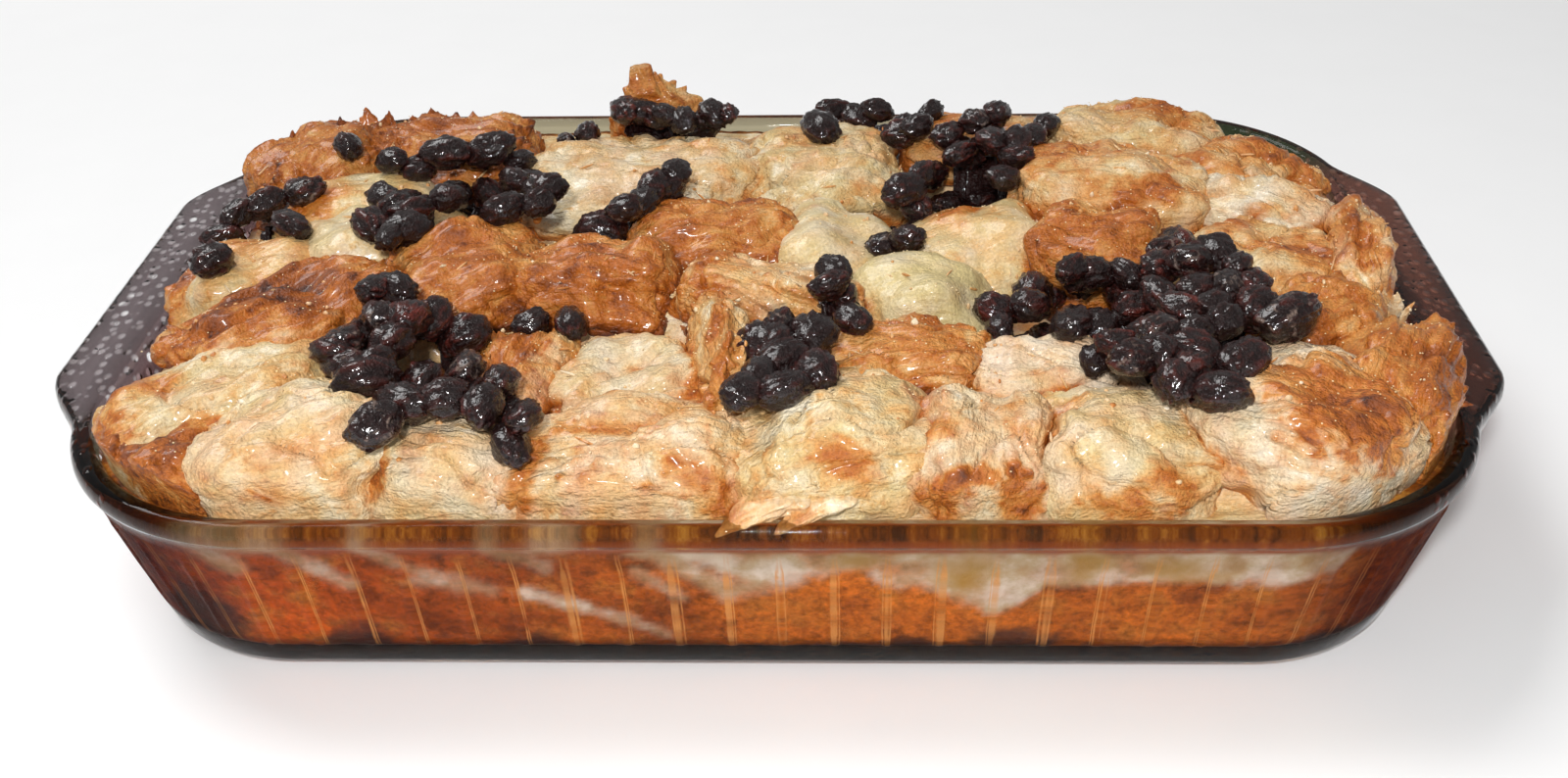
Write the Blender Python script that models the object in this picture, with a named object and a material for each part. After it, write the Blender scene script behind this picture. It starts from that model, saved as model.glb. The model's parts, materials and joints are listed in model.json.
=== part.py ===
"""A bread pudding in its oblong glass baking dish.

The dish is one piece of pressed glass with a thick rim and a flat lug at each end.  The set pudding
fills it to just under the rim.  On top lie the torn pieces of bread, each one its own solid, and the
raisins, as heaps and as single fruits that sink a little way into the bread.

The origin is the middle of the dish's underside, on the table.  X runs along the dish, -Y is the front
and +Z is up.  Blender works in metres; the tables below are in millimetres and MM turns them.
"""

from collections import namedtuple
from math import atan2, cos, hypot, pi, radians, sin

import bmesh
import bpy
from mathutils import Euler, Matrix, Vector, noise

MM = 0.001

# The dish
RIM_LENGTH = 350 * MM
RIM_WIDTH = 242 * MM
DISH_HEIGHT = 52 * MM
CORNER_RADIUS = 58 * MM
WALL_LEAN = 13 * MM  # how far the wall leans in from the rim to the base
WALL_THICK = 5.5 * MM
FLOOR_THICK = 5 * MM
BASE_FILLET = 6 * MM
RIM_BAND = 6.5 * MM  # height of the thick rim
LUG_REACH = 12 * MM  # how far the end lugs stand out from the rim
LUG_FLAT = 50 * MM  # half the straight edge of a lug
LUG_ROOT = 78 * MM  # where a lug has run out into the rim's corner
CORNER_STEPS = 6

# What fills it
GAP = 0.35 * MM  # air left between solids that touch
RAISIN_ROOM = 0.5 * MM  # air left round the raisins that lie sunk in bread
PUDDING_TOP = 49 * MM
BREAD_SEAT = PUDDING_TOP + GAP
BREAD_DEPTH = 17 * MM  # half the thickness of an ordinary torn piece
LUMPS = 0.22  # how uneven a torn piece is, as a share of its size
SMALL_PIECE = 310  # long times wide, mm2, under which a piece is modelled more coarsely
CROWDING = 1.14  # how far each piece spreads beyond its listed size to press against the next

Piece = namedtuple("Piece", "name x y long wide top yaw lean tip boxy")
Heap = namedtuple("Heap", "name x y long wide top yaw")
Raisin = namedtuple("Raisin", "name x y long top yaw")

# Torn bread: centre, half length, half width and height of the top (mm), then the turn about Z, the lean
# about the long axis and the tip about the short one (degrees), and how square the shape is (2 is round).
PIECES = [
    Piece("bread_front_left_corner", -142, -100, 17, 15, 63, 60, 6, -8, 3.0),
    Piece("bread_left_long_slice", -134, -75, 31, 16, 67, 33, 5, 3, 2.6),
    Piece("bread_front_left_bun", -108, -94, 24, 20, 69, 20, -8, 2, 2.6),
    Piece("bread_front_left_dome", -73, -99, 19, 16, 66, -12, -8, 0, 2.3),
    Piece("bread_front_long_roll", -31, -97, 29, 17, 67, 6, -8, 2, 2.6),
    Piece("bread_front_middle_bun", 15, -94, 24, 20, 70, 12, -8, 4, 2.5),
    Piece("bread_front_middle_crumb", 50, -95, 19, 18, 68, 80, 0, -3, 2.4),
    Piece("bread_front_right_crumb", 84, -93, 21, 20, 68, 10, -5, -4, 2.5),
    Piece("bread_front_right_bun", 125, -89, 25, 24, 74, -30, -6, 3, 2.7),
    Piece("bread_right_torn_crust", 153, -70, 23, 15, 70, 68, -8, 2, 3.0),
    Piece("bread_left_striped_crust", -124, -44, 31, 16, 71, 42, 6, 2, 3.0),
    Piece("bread_left_edge_roll", -146, -11, 22, 17, 67, 25, 3, 4, 2.5),
    Piece("bread_left_pale_bun", -119, 2, 17, 18, 69, 40, 2, 2, 2.4),
    Piece("bread_left_back_arch", -124, 33, 25, 15, 67, 8, -4, 0, 2.3),
    Piece("bread_flaky_crust_left", -83, -16, 20, 20, 71, 30, 4, 3, 3.2),
    Piece("bread_flaky_crust_middle", -48, -19, 21, 18, 71, -5, -5, 2, 3.2),
    Piece("bread_flaky_crust_back", -20, 6, 22, 16, 70, 15, 6, 0, 3.2),
    Piece("bread_raisin_bed", -64, -61, 19, 14, 65, 80, 0, 3, 2.6),
    Piece("bread_custard_hollow", -36, -64, 21, 21, 64, 20, 2, 0, 2.4),
    Piece("bread_upright_crust", -12, -66, 24, 6.5, 76, 98, 10, -4, 3.4),
    Piece("bread_split_roll", -4, -30, 23, 14, 72, -22, -10, 2, 2.8),
    Piece("bread_middle_crumb", 12, 8, 19, 21, 67, 30, 0, 2, 2.3),
    Piece("bread_yellow_dome", 39, -26, 18, 16, 70, 5, 0, 0, 2.1),
    Piece("bread_middle_brown", 32, -60, 22, 14, 69, 8, 4, 2, 2.8),
    Piece("bread_pale_square", 57, 8, 19, 19, 67, 20, 2, 3, 2.6),
    Piece("bread_brown_square", 88, -3, 16, 17, 70, -8, 8, 2, 3.4),
    Piece("bread_right_pale_crumb", 68, -65, 22, 16, 66, -8, 0, 0, 2.3),
    Piece("bread_ridged_slice", 97, 35, 26, 19, 73, -15, 6, 2, 3.0),
    Piece("bread_right_pale_slice", 137, 22, 23, 14, 71, -42, 5, 4, 2.7),
    Piece("bread_right_golden_slice", 131, -13, 21, 17, 70, -12, 4, 2, 2.8),
    Piece("bread_right_heel", 157, -8, 25, 8, 75, 84, 8, 0, 3.0),
    Piece("bread_right_fold", 138, -45, 18, 14, 71, 35, -8, 0, 2.8),
    Piece("bread_back_left_crust", -142, 62, 22, 20, 69, 48, -4, 4, 3.0),
    Piece("bread_back_brown_crust", -106, 76, 23, 21, 67, -6, -4, 2, 2.8),
    Piece("bread_back_long_loaf", -47, 56, 39, 24, 67, 0, -3, 0, 2.4),
    Piece("bread_back_middle_bun", 11, 60, 23, 28, 68, 10, -3, 0, 2.4),
    Piece("bread_back_red_crust", 62, 80, 22, 20, 66, -8, -4, 0, 2.8),
    Piece("bread_back_right_bun", 108, 80, 24, 21, 70, -10, -4, 3, 2.6),
    Piece("bread_back_right_crust", 139, 54, 21, 20, 67, -48, 4, 4, 2.7),
]
# A thin torn tip that stands up behind the long loaf.
PEAK = Piece("bread_back_peak", -42, 88, 15, 8, 84, 8, -6, 14, 1.7)

# Heaps of raisins: centre, half length, half width and height of the top (mm), turn about Z (degrees).
HEAPS = [
    Heap("raisins_front_left_upper", -92, -53, 23, 13, 76, 18),
    Heap("raisins_front_left_lower", -80, -84, 27, 12, 74, -22),
    Heap("raisins_back_left", -88, 42, 24, 13, 74, -8),
    Heap("raisins_left_middle", -108, 7, 16, 9, 75, 72),
    Heap("raisins_left_rim", -151, 26, 16, 8, 70, 14),
    Heap("raisins_middle_row", -46, 18, 21, 9, 76, 10),
    Heap("raisins_centre_front", 2, -73, 19, 11, 76, 66),
    Heap("raisins_centre", 19, -44, 13, 9, 76, -35),
    Heap("raisins_back_right_upper", 61, 49, 18, 15, 75, 5),
    Heap("raisins_back_right_lower", 39, 22, 16, 10, 73, 58),
    Heap("raisins_right_main", 106, -43, 29, 20, 79, -12),
    Heap("raisins_right_arm", 71, -31, 17, 11, 76, 20),
    Heap("raisins_right_front", 102, -82, 16, 10, 78, -10),
    Heap("raisins_back_rim", 28, 93, 24, 9, 70, -4),
    Heap("raisins_back_slope", -40, 78, 19, 8, 73, 2),
]

# Single raisins: centre, half length and height of the top (mm), turn about Z (degrees).
RAISINS = [
    Raisin("raisin_left_slope", -134, 2, 7.2, 73, -30),
    Raisin("raisin_left_edge", -152, -22, 7.0, 71, 35),
    Raisin("raisin_back_large", 11, 68, 8.0, 74, -5),
]

RAISIN_WIDE = 5.4 * MM
RAISIN_DEEP = 4.6 * MM
RAISIN_PITCH = 9  # how far apart the bumps of a heap lie, mm
HEAP_DEPTH = 8.5 * MM
HEAP_SUNK = 2 * MM  # how far the flat underside of a heap lies below its middle

BREAD_CRUST = (0.56, 0.27, 0.09, 1)
BREAD_CRUMB = (0.80, 0.62, 0.38, 1)


def smooth_step(low, high, value):
    share = min(max((value - low) / (high - low), 0.0), 1.0)
    return share * share * (3 - 2 * share)


def material(name, colour, roughness, transmission=0.0):
    made = bpy.data.materials.new(name)
    made.use_nodes = True
    shader = made.node_tree.nodes["Principled BSDF"]
    shader.inputs["Base Color"].default_value = colour
    shader.inputs["Roughness"].default_value = roughness
    shader.inputs["Metallic"].default_value = 0.0
    shader.inputs["Transmission Weight"].default_value = transmission
    return made


def new_object(name, bm, collection, finish=None):
    mesh = bpy.data.meshes.new(name)
    bm.to_mesh(mesh)
    bm.free()
    made = bpy.data.objects.new(name, mesh)
    collection.objects.link(made)
    if finish:
        mesh.materials.append(finish)
    mesh.shade_smooth()
    mesh.set_sharp_from_angle(angle=radians(50))
    return made


# --- The dish and the pudding in it -----------------------------------------------------------------


def plan_outline(inset, lug):
    """The dish seen from above, drawn in by inset, with its end lugs out by the share lug of their reach."""
    half_x, half_y = RIM_LENGTH / 2 - inset, RIM_WIDTH / 2 - inset
    radius = CORNER_RADIUS - inset
    outline = []
    for quarter in range(4):
        side_x = 1 if quarter in (0, 3) else -1
        side_y = 1 if quarter in (0, 1) else -1
        for step in range(CORNER_STEPS + 1):
            angle = (quarter + step / CORNER_STEPS) * pi / 2
            outline.append(
                (
                    side_x * (half_x - radius) + radius * cos(angle),
                    side_y * (half_y - radius) + radius * sin(angle),
                )
            )
        if quarter in (1, 3):  # points down the straight end, where a lug's edge turns
            for share in (-1.16, -1.08, -1.0, 1.0, 1.08, 1.16):
                outline.append((side_x * half_x, side_x * share * LUG_FLAT))
    reach = lug * LUG_REACH
    start_x = half_x - radius
    return [
        (
            x + (reach * (1 - smooth_step(LUG_FLAT, LUG_ROOT, abs(y))) * (1 if x > 0 else -1))
            * (1 if abs(x) > start_x else 0),
            y,
        )
        for x, y in outline
    ]


def lofted(levels):
    """A closed shell through levels of (inset, height, lug share), capped at its first and last one."""
    bm = bmesh.new()
    rings = []
    for inset, height, lug in levels:
        ring = [bm.verts.new((x, y, height)) for x, y in plan_outline(inset, lug)]
        rings.append([bm.edges.new((a, b)) for a, b in zip(ring, ring[1:] + ring[:1])])
    for lower, upper in zip(rings, rings[1:]):
        bmesh.ops.bridge_loops(bm, edges=lower + upper)
    bmesh.ops.holes_fill(bm, edges=rings[0] + rings[-1], sides=0)
    bmesh.ops.recalc_face_normals(bm, faces=bm.faces)
    return bm


def make_dish(collection):
    under_rim = DISH_HEIGHT - RIM_BAND
    levels = [
        (WALL_LEAN + BASE_FILLET, 0, 0),
        (WALL_LEAN + 0.29 * BASE_FILLET, 0.29 * BASE_FILLET, 0),
        (WALL_LEAN, BASE_FILLET, 0),
        (1.6 * MM, under_rim, 0),
        (0.3 * MM, under_rim + 0.5 * MM, 1),
        (0, under_rim + 2 * MM, 1),
        (0.4 * MM, DISH_HEIGHT - 1.4 * MM, 1),
        (2 * MM, DISH_HEIGHT, 1),
        (5 * MM, DISH_HEIGHT - 0.6 * MM, 0),
        (6.5 * MM, PUDDING_TOP, 0),
        (WALL_LEAN + WALL_THICK, FLOOR_THICK + 7 * MM, 0),
        (WALL_LEAN + WALL_THICK + 3 * MM, FLOOR_THICK + 1.5 * MM, 0),
        (WALL_LEAN + WALL_THICK + 8.5 * MM, FLOOR_THICK, 0),
    ]
    finish = material("amber_glass", (0.62, 0.42, 0.24, 1), 0.05, transmission=1.0)
    return new_object("glass_dish", lofted(levels), collection, finish)


def make_pudding(collection):
    levels = [
        (WALL_LEAN + WALL_THICK + 8.5 * MM + GAP, FLOOR_THICK + GAP, 0),
        (WALL_LEAN + WALL_THICK + 3 * MM + GAP, FLOOR_THICK + 1.5 * MM + GAP, 0),
        (WALL_LEAN + WALL_THICK + GAP, FLOOR_THICK + 7 * MM, 0),
        (6.5 * MM + GAP, PUDDING_TOP, 0),
    ]
    finish = material("baked_custard_bread", (0.60, 0.25, 0.06, 1), 0.5)
    return new_object("pudding_body", lofted(levels), collection, finish)


# --- Bread ------------------------------------------------------------------------------------------


def torn_blob(cuts, boxy, lumps, seed):
    """A lumpy rounded box between -1 and 1, from a cut-up cube."""
    bm = bmesh.new()
    bmesh.ops.create_cube(bm, size=2)
    bmesh.ops.subdivide_edges(bm, edges=bm.edges, cuts=cuts, use_grid_fill=True)
    offset = Vector((seed * 3.7, seed * 1.9, seed * 5.3))
    for vert in bm.verts:
        way = vert.co.normalized()
        reach = sum(abs(part) ** boxy for part in way) ** (-1 / boxy)
        vert.co = way * reach * (1 + lumps * noise.noise(way * 1.6 + offset))
    return bm


def placed(bm, piece, depth):
    """Sizes, turns and moves a unit blob to where the piece lies."""
    spread = CROWDING * MM
    scale = Matrix.Diagonal((piece.long * spread, piece.wide * spread, depth, 1))
    turn = Euler((radians(piece.lean), radians(-piece.tip), radians(piece.yaw))).to_matrix().to_4x4()
    move = Matrix.Translation((piece.x * MM, piece.y * MM, piece.top * MM - depth))
    bmesh.ops.transform(bm, matrix=move @ turn @ scale, verts=bm.verts)


def cut_away(bm, point, outward):
    """Removes what lies beyond a plane and closes the cut."""
    everything = bm.verts[:] + bm.edges[:] + bm.faces[:]
    bmesh.ops.bisect_plane(
        bm, geom=everything, dist=1e-7, plane_co=point, plane_no=outward, clear_outer=True
    )
    open_edges = [edge for edge in bm.edges if edge.is_boundary]
    if open_edges:
        bmesh.ops.holes_fill(bm, edges=open_edges, sides=0)


def reach_towards(item, angle):
    """How far a piece or heap reaches from its centre in a plan direction, as an ellipse."""
    turned = angle - radians(item.yaw)
    return hypot(item.long * cos(turned), item.wide * sin(turned))


def part_from_neighbours(bm, item, others, gap):
    """Cuts the item along upright planes that share the ground between it and each neighbour."""
    for other in others:
        run = Vector((other.x - item.x, other.y - item.y, 0))
        angle = atan2(run.y, run.x)
        own, theirs = reach_towards(item, angle), reach_towards(other, angle)
        if other is item or run.length > 1.35 * (own + theirs):
            continue
        border = run.length * own / (own + theirs) - gap / MM / 2
        way = run.normalized()
        cut_away(bm, (Vector((item.x, item.y, 0)) + way * border) * MM, way)


def keep_inside_rim(bm):
    """Cuts off what would reach the glass: the straight sides, then chords inside the round corners."""
    inset = 7 * MM
    half_x, half_y = RIM_LENGTH / 2 - inset, RIM_WIDTH / 2 - inset
    radius = CORNER_RADIUS - inset
    for side in (-1, 1):
        cut_away(bm, (side * half_x, 0, 0), (side, 0, 0))
        cut_away(bm, (0, side * half_y, 0), (0, side, 0))
    chords = 4
    sagitta = radius * cos(pi / 4 / chords)
    for side_x in (-1, 1):
        for side_y in (-1, 1):
            centre = Vector((side_x * (half_x - radius), side_y * (half_y - radius), 0))
            for chord in range(chords):
                angle = (chord + 0.5) * pi / 2 / chords
                way = Vector((side_x * cos(angle), side_y * sin(angle), 0))
                cut_away(bm, centre + way * sagitta, way)


def make_bread(piece, seed, everyone, depth, collection, finish):
    cuts = 2 if piece.long * piece.wide < SMALL_PIECE else 3
    bm = torn_blob(cuts, piece.boxy, LUMPS, seed)
    placed(bm, piece, depth)
    cut_away(bm, (0, 0, BREAD_SEAT), (0, 0, -1))
    part_from_neighbours(bm, piece, everyone, GAP)
    keep_inside_rim(bm)
    return new_object(piece.name, bm, collection, finish)


# --- Raisins ----------------------------------------------------------------------------------------


def ellipsoid_place(item, wide, deep, grow):
    """The matrix that turns a unit ball into the item's ellipsoid, where it lies."""
    scale = Matrix.Diagonal((item.long * MM + grow, wide + grow, deep + grow, 1))
    turn = Matrix.Rotation(radians(item.yaw), 4, "Z")
    move = Matrix.Translation((item.x * MM, item.y * MM, item.top * MM - deep))
    return move @ turn @ scale


def make_raisin(raisin, collection, finish, grow=0.0):
    bm = bmesh.new()
    bmesh.ops.create_icosphere(bm, subdivisions=2, radius=1)
    place = ellipsoid_place(raisin, RAISIN_WIDE, RAISIN_DEEP, grow)
    bmesh.ops.transform(bm, matrix=place, verts=bm.verts)
    return new_object(raisin.name, bm, collection, finish)


def make_heap(heap, seed, collection, finish, grow=0.0):
    """A low mound, flat below, whose bumps are the size of the raisins in it."""
    bm = bmesh.new()
    bmesh.ops.create_uvsphere(bm, u_segments=13, v_segments=6, radius=1)
    offset = Vector((seed * 2.3, seed * 4.1, seed * 0.7))
    stretch = Vector((heap.long, heap.wide, HEAP_DEPTH / MM)) / RAISIN_PITCH
    for vert in bm.verts:
        spot = Vector(a * b for a, b in zip(vert.co, stretch)) + offset
        bump = noise.noise(spot)
        vert.co *= 0.97 + 0.26 * bump
        vert.co.z *= 1 + 0.35 * bump
    # Bent faces are split now, so that a heap and its grown cutter are split the same way.
    bmesh.ops.triangulate(bm, faces=bm.faces, quad_method="FIXED")
    place = ellipsoid_place(heap, heap.wide * MM, HEAP_DEPTH, grow)
    bmesh.ops.transform(bm, matrix=place, verts=bm.verts)
    cut_away(bm, (0, 0, heap.top * MM - HEAP_DEPTH - HEAP_SUNK - grow), (0, 0, -1))
    part_from_neighbours(bm, heap, HEAPS, 2 * GAP - 2 * grow)
    return new_object(heap.name, bm, collection, finish)


# --- Fitting the raisins into the bread -------------------------------------------------------------


def box_of(obj):
    corners = [vert.co for vert in obj.data.vertices]
    low = [min(corner[axis] for corner in corners) for axis in range(3)]
    high = [max(corner[axis] for corner in corners) for axis in range(3)]
    return low, high


def boxes_meet(a, b):
    (low_a, high_a), (low_b, high_b) = box_of(a), box_of(b)
    return all(low_a[axis] < high_b[axis] and low_b[axis] < high_a[axis] for axis in range(3))


def keep_largest_body(bm):
    """Drops crumbs that a cut has left loose."""
    bodies, seen = [], set()
    for start in bm.verts:
        if start in seen:
            continue
        body, waiting = [], [start]
        seen.add(start)
        while waiting:
            vert = waiting.pop()
            body.append(vert)
            for edge in vert.link_edges:
                other = edge.other_vert(vert)
                if other not in seen:
                    seen.add(other)
                    waiting.append(other)
        bodies.append(body)
    bodies.sort(key=len)
    for body in bodies[:-1]:
        bmesh.ops.delete(bm, geom=body, context="VERTS")


def carve(obj, cutters):
    """Cuts the cutters out of an object and keeps the largest body that is left."""
    touching = [cutter for cutter in cutters if boxes_meet(obj, cutter)]
    if not touching:
        return
    for cutter in touching:
        cut = obj.modifiers.new(cutter.name, "BOOLEAN")
        cut.operation = "DIFFERENCE"
        cut.solver = "EXACT"
        cut.object = cutter
    graph = bpy.context.evaluated_depsgraph_get()
    bm = bmesh.new()
    bm.from_mesh(obj.evaluated_get(graph).data)
    obj.modifiers.clear()
    keep_largest_body(bm)
    bm.to_mesh(obj.data)
    bm.free()


def clear_scene():
    for obj in list(bpy.data.objects):
        bpy.data.objects.remove(obj)


def new_collection(name):
    made = bpy.data.collections.new(name)
    bpy.context.scene.collection.children.link(made)
    return made


def main():
    clear_scene()
    parts = new_collection("bread_pudding")
    helpers = new_collection("cutters")
    make_dish(parts)
    make_pudding(parts)

    raisin_skin = material("raisin_skin", (0.045, 0.018, 0.018, 1), 0.25)
    cutters = []
    for seed, heap in enumerate(HEAPS):
        make_heap(heap, seed, parts, raisin_skin)
        pit = heap._replace(name="cut_" + heap.name)
        cutters.append(make_heap(pit, seed, helpers, None, grow=RAISIN_ROOM))
    for raisin in RAISINS:
        make_raisin(raisin, parts, raisin_skin)
        pit = raisin._replace(name="cut_" + raisin.name)
        cutters.append(make_raisin(pit, helpers, None, grow=RAISIN_ROOM))
    for cutter in cutters:
        cutter.hide_render = True
        cutter.display_type = "WIRE"
    bpy.context.view_layer.update()

    everyone = PIECES + [PEAK]
    for seed, piece in enumerate(everyone):
        crusty = "crust" in piece.name or "brown" in piece.name
        finish = material(piece.name, BREAD_CRUST if crusty else BREAD_CRUMB, 0.55)
        depth = 22 * MM if piece is PEAK else BREAD_DEPTH
        bread = make_bread(piece, seed, everyone, depth, parts, finish)
        bpy.context.view_layer.update()
        carve(bread, cutters)


main()
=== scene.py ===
"""Bread pudding in its oblong glass baking dish: the finish of every surface.

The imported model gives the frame.  The glass dish is a smooth pressed-glass shell with fluted sides, the set
pudding fills it to just under the rim, and each torn piece of bread, each heap of raisins and each single
raisin is a detailed mesh over its own plain solid.  Crumbs, curled shreds of crust and beads of syrup lie
on top.  Sizes in the tables are millimetres.
"""

import json
from collections import namedtuple
from math import cos, hypot, pi, radians, sin

import bmesh
import bpy
import numpy as np
from bpy.props import FloatProperty, FloatVectorProperty, PointerProperty
from mathutils import Euler, Matrix, Vector, noise

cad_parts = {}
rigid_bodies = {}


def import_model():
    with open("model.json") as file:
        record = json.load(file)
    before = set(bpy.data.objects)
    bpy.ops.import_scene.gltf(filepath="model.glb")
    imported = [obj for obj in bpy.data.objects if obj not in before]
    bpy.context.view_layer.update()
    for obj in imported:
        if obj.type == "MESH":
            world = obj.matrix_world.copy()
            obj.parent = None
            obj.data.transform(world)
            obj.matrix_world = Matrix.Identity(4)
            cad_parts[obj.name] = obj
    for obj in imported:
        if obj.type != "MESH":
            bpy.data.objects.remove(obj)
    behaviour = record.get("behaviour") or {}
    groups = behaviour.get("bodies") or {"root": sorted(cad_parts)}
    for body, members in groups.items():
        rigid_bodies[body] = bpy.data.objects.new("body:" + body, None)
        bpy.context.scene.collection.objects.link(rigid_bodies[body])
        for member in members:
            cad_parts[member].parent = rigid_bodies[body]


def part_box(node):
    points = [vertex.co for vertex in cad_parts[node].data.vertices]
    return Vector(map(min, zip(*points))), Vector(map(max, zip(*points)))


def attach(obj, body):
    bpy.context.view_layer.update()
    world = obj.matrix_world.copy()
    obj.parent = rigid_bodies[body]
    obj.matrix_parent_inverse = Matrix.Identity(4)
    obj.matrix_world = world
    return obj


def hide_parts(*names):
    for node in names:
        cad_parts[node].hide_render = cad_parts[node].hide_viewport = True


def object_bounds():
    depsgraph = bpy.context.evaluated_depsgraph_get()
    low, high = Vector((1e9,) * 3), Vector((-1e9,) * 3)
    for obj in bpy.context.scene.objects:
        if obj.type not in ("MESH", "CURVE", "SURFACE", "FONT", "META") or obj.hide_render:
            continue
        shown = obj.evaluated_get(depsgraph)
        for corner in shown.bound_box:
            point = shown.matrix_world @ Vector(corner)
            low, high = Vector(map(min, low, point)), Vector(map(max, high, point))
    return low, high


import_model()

CAD_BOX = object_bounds()
MM = 0.001

bl_info = {
    "name": "Bread pudding in a glass dish",
    "version": (1, 0, 0),
    "blender": (4, 5, 0),
    "location": "View3D > Sidebar > Pudding",
    "description": "Builds a baked bread pudding with raisins in its fluted glass dish",
    "category": "Object",
}

# --- Sizes (mm), shares and counts --------------------------------------------------------------------

RIM_LONG = 350
RIM_WIDE = 242
CORNER = 58  # radius of the rim's corners in plan
LUG_REACH = 12
LUG_FLAT = 50
LUG_ROOT = 78
PUDDING_TOP = 49
PIECE_DEPTH = 17
PEAK_DEPTH = 22
CROWDING = 1.14  # how far a torn piece spreads beyond its listed size
LUMPS = 0.22  # how unevenly a torn piece swells, as a share of its size
BREAD_CUTS = 50  # across each side of a torn piece's mesh
GLASS_GAP = 0.6  # clearance of bread from the glass
SUNK = 3.0  # how far a torn piece reaches below its seat
TAPER = {"back_peak": 0.76, "upright_crust": 0.35, "right_heel": 0.2}  # how much a standing piece narrows
PIECE_SHIFT = 5.17  # shift of the surface noise from one torn piece to the next
FLUTE_AT = 4.0  # place along X of one flute of the front wall
CAD_TOP = CAD_BOX[1][2] / MM
HEADROOM = 0.3  # left under the top of the solids
CRUMBS = 260  # loose crumbs on the bread
BEADS = 3000  # beads of syrup on the bread
SCATTER_X, SCATTER_Y = 166, 114  # how far out along X and Y loose things may lie
SCATTER_EDGE = 9.0  # how far they stay inside the dish's outline
BREAD_FLOOR = 55  # loose crumbs and threads lie on bread that is higher than this
BEAD_FLOOR = 52  # and beads of syrup on bread that is higher than this

Torn = namedtuple("Torn", "name dx dy rise long wide yaw lean tip boxy kind toast custard white ragged")

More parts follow.
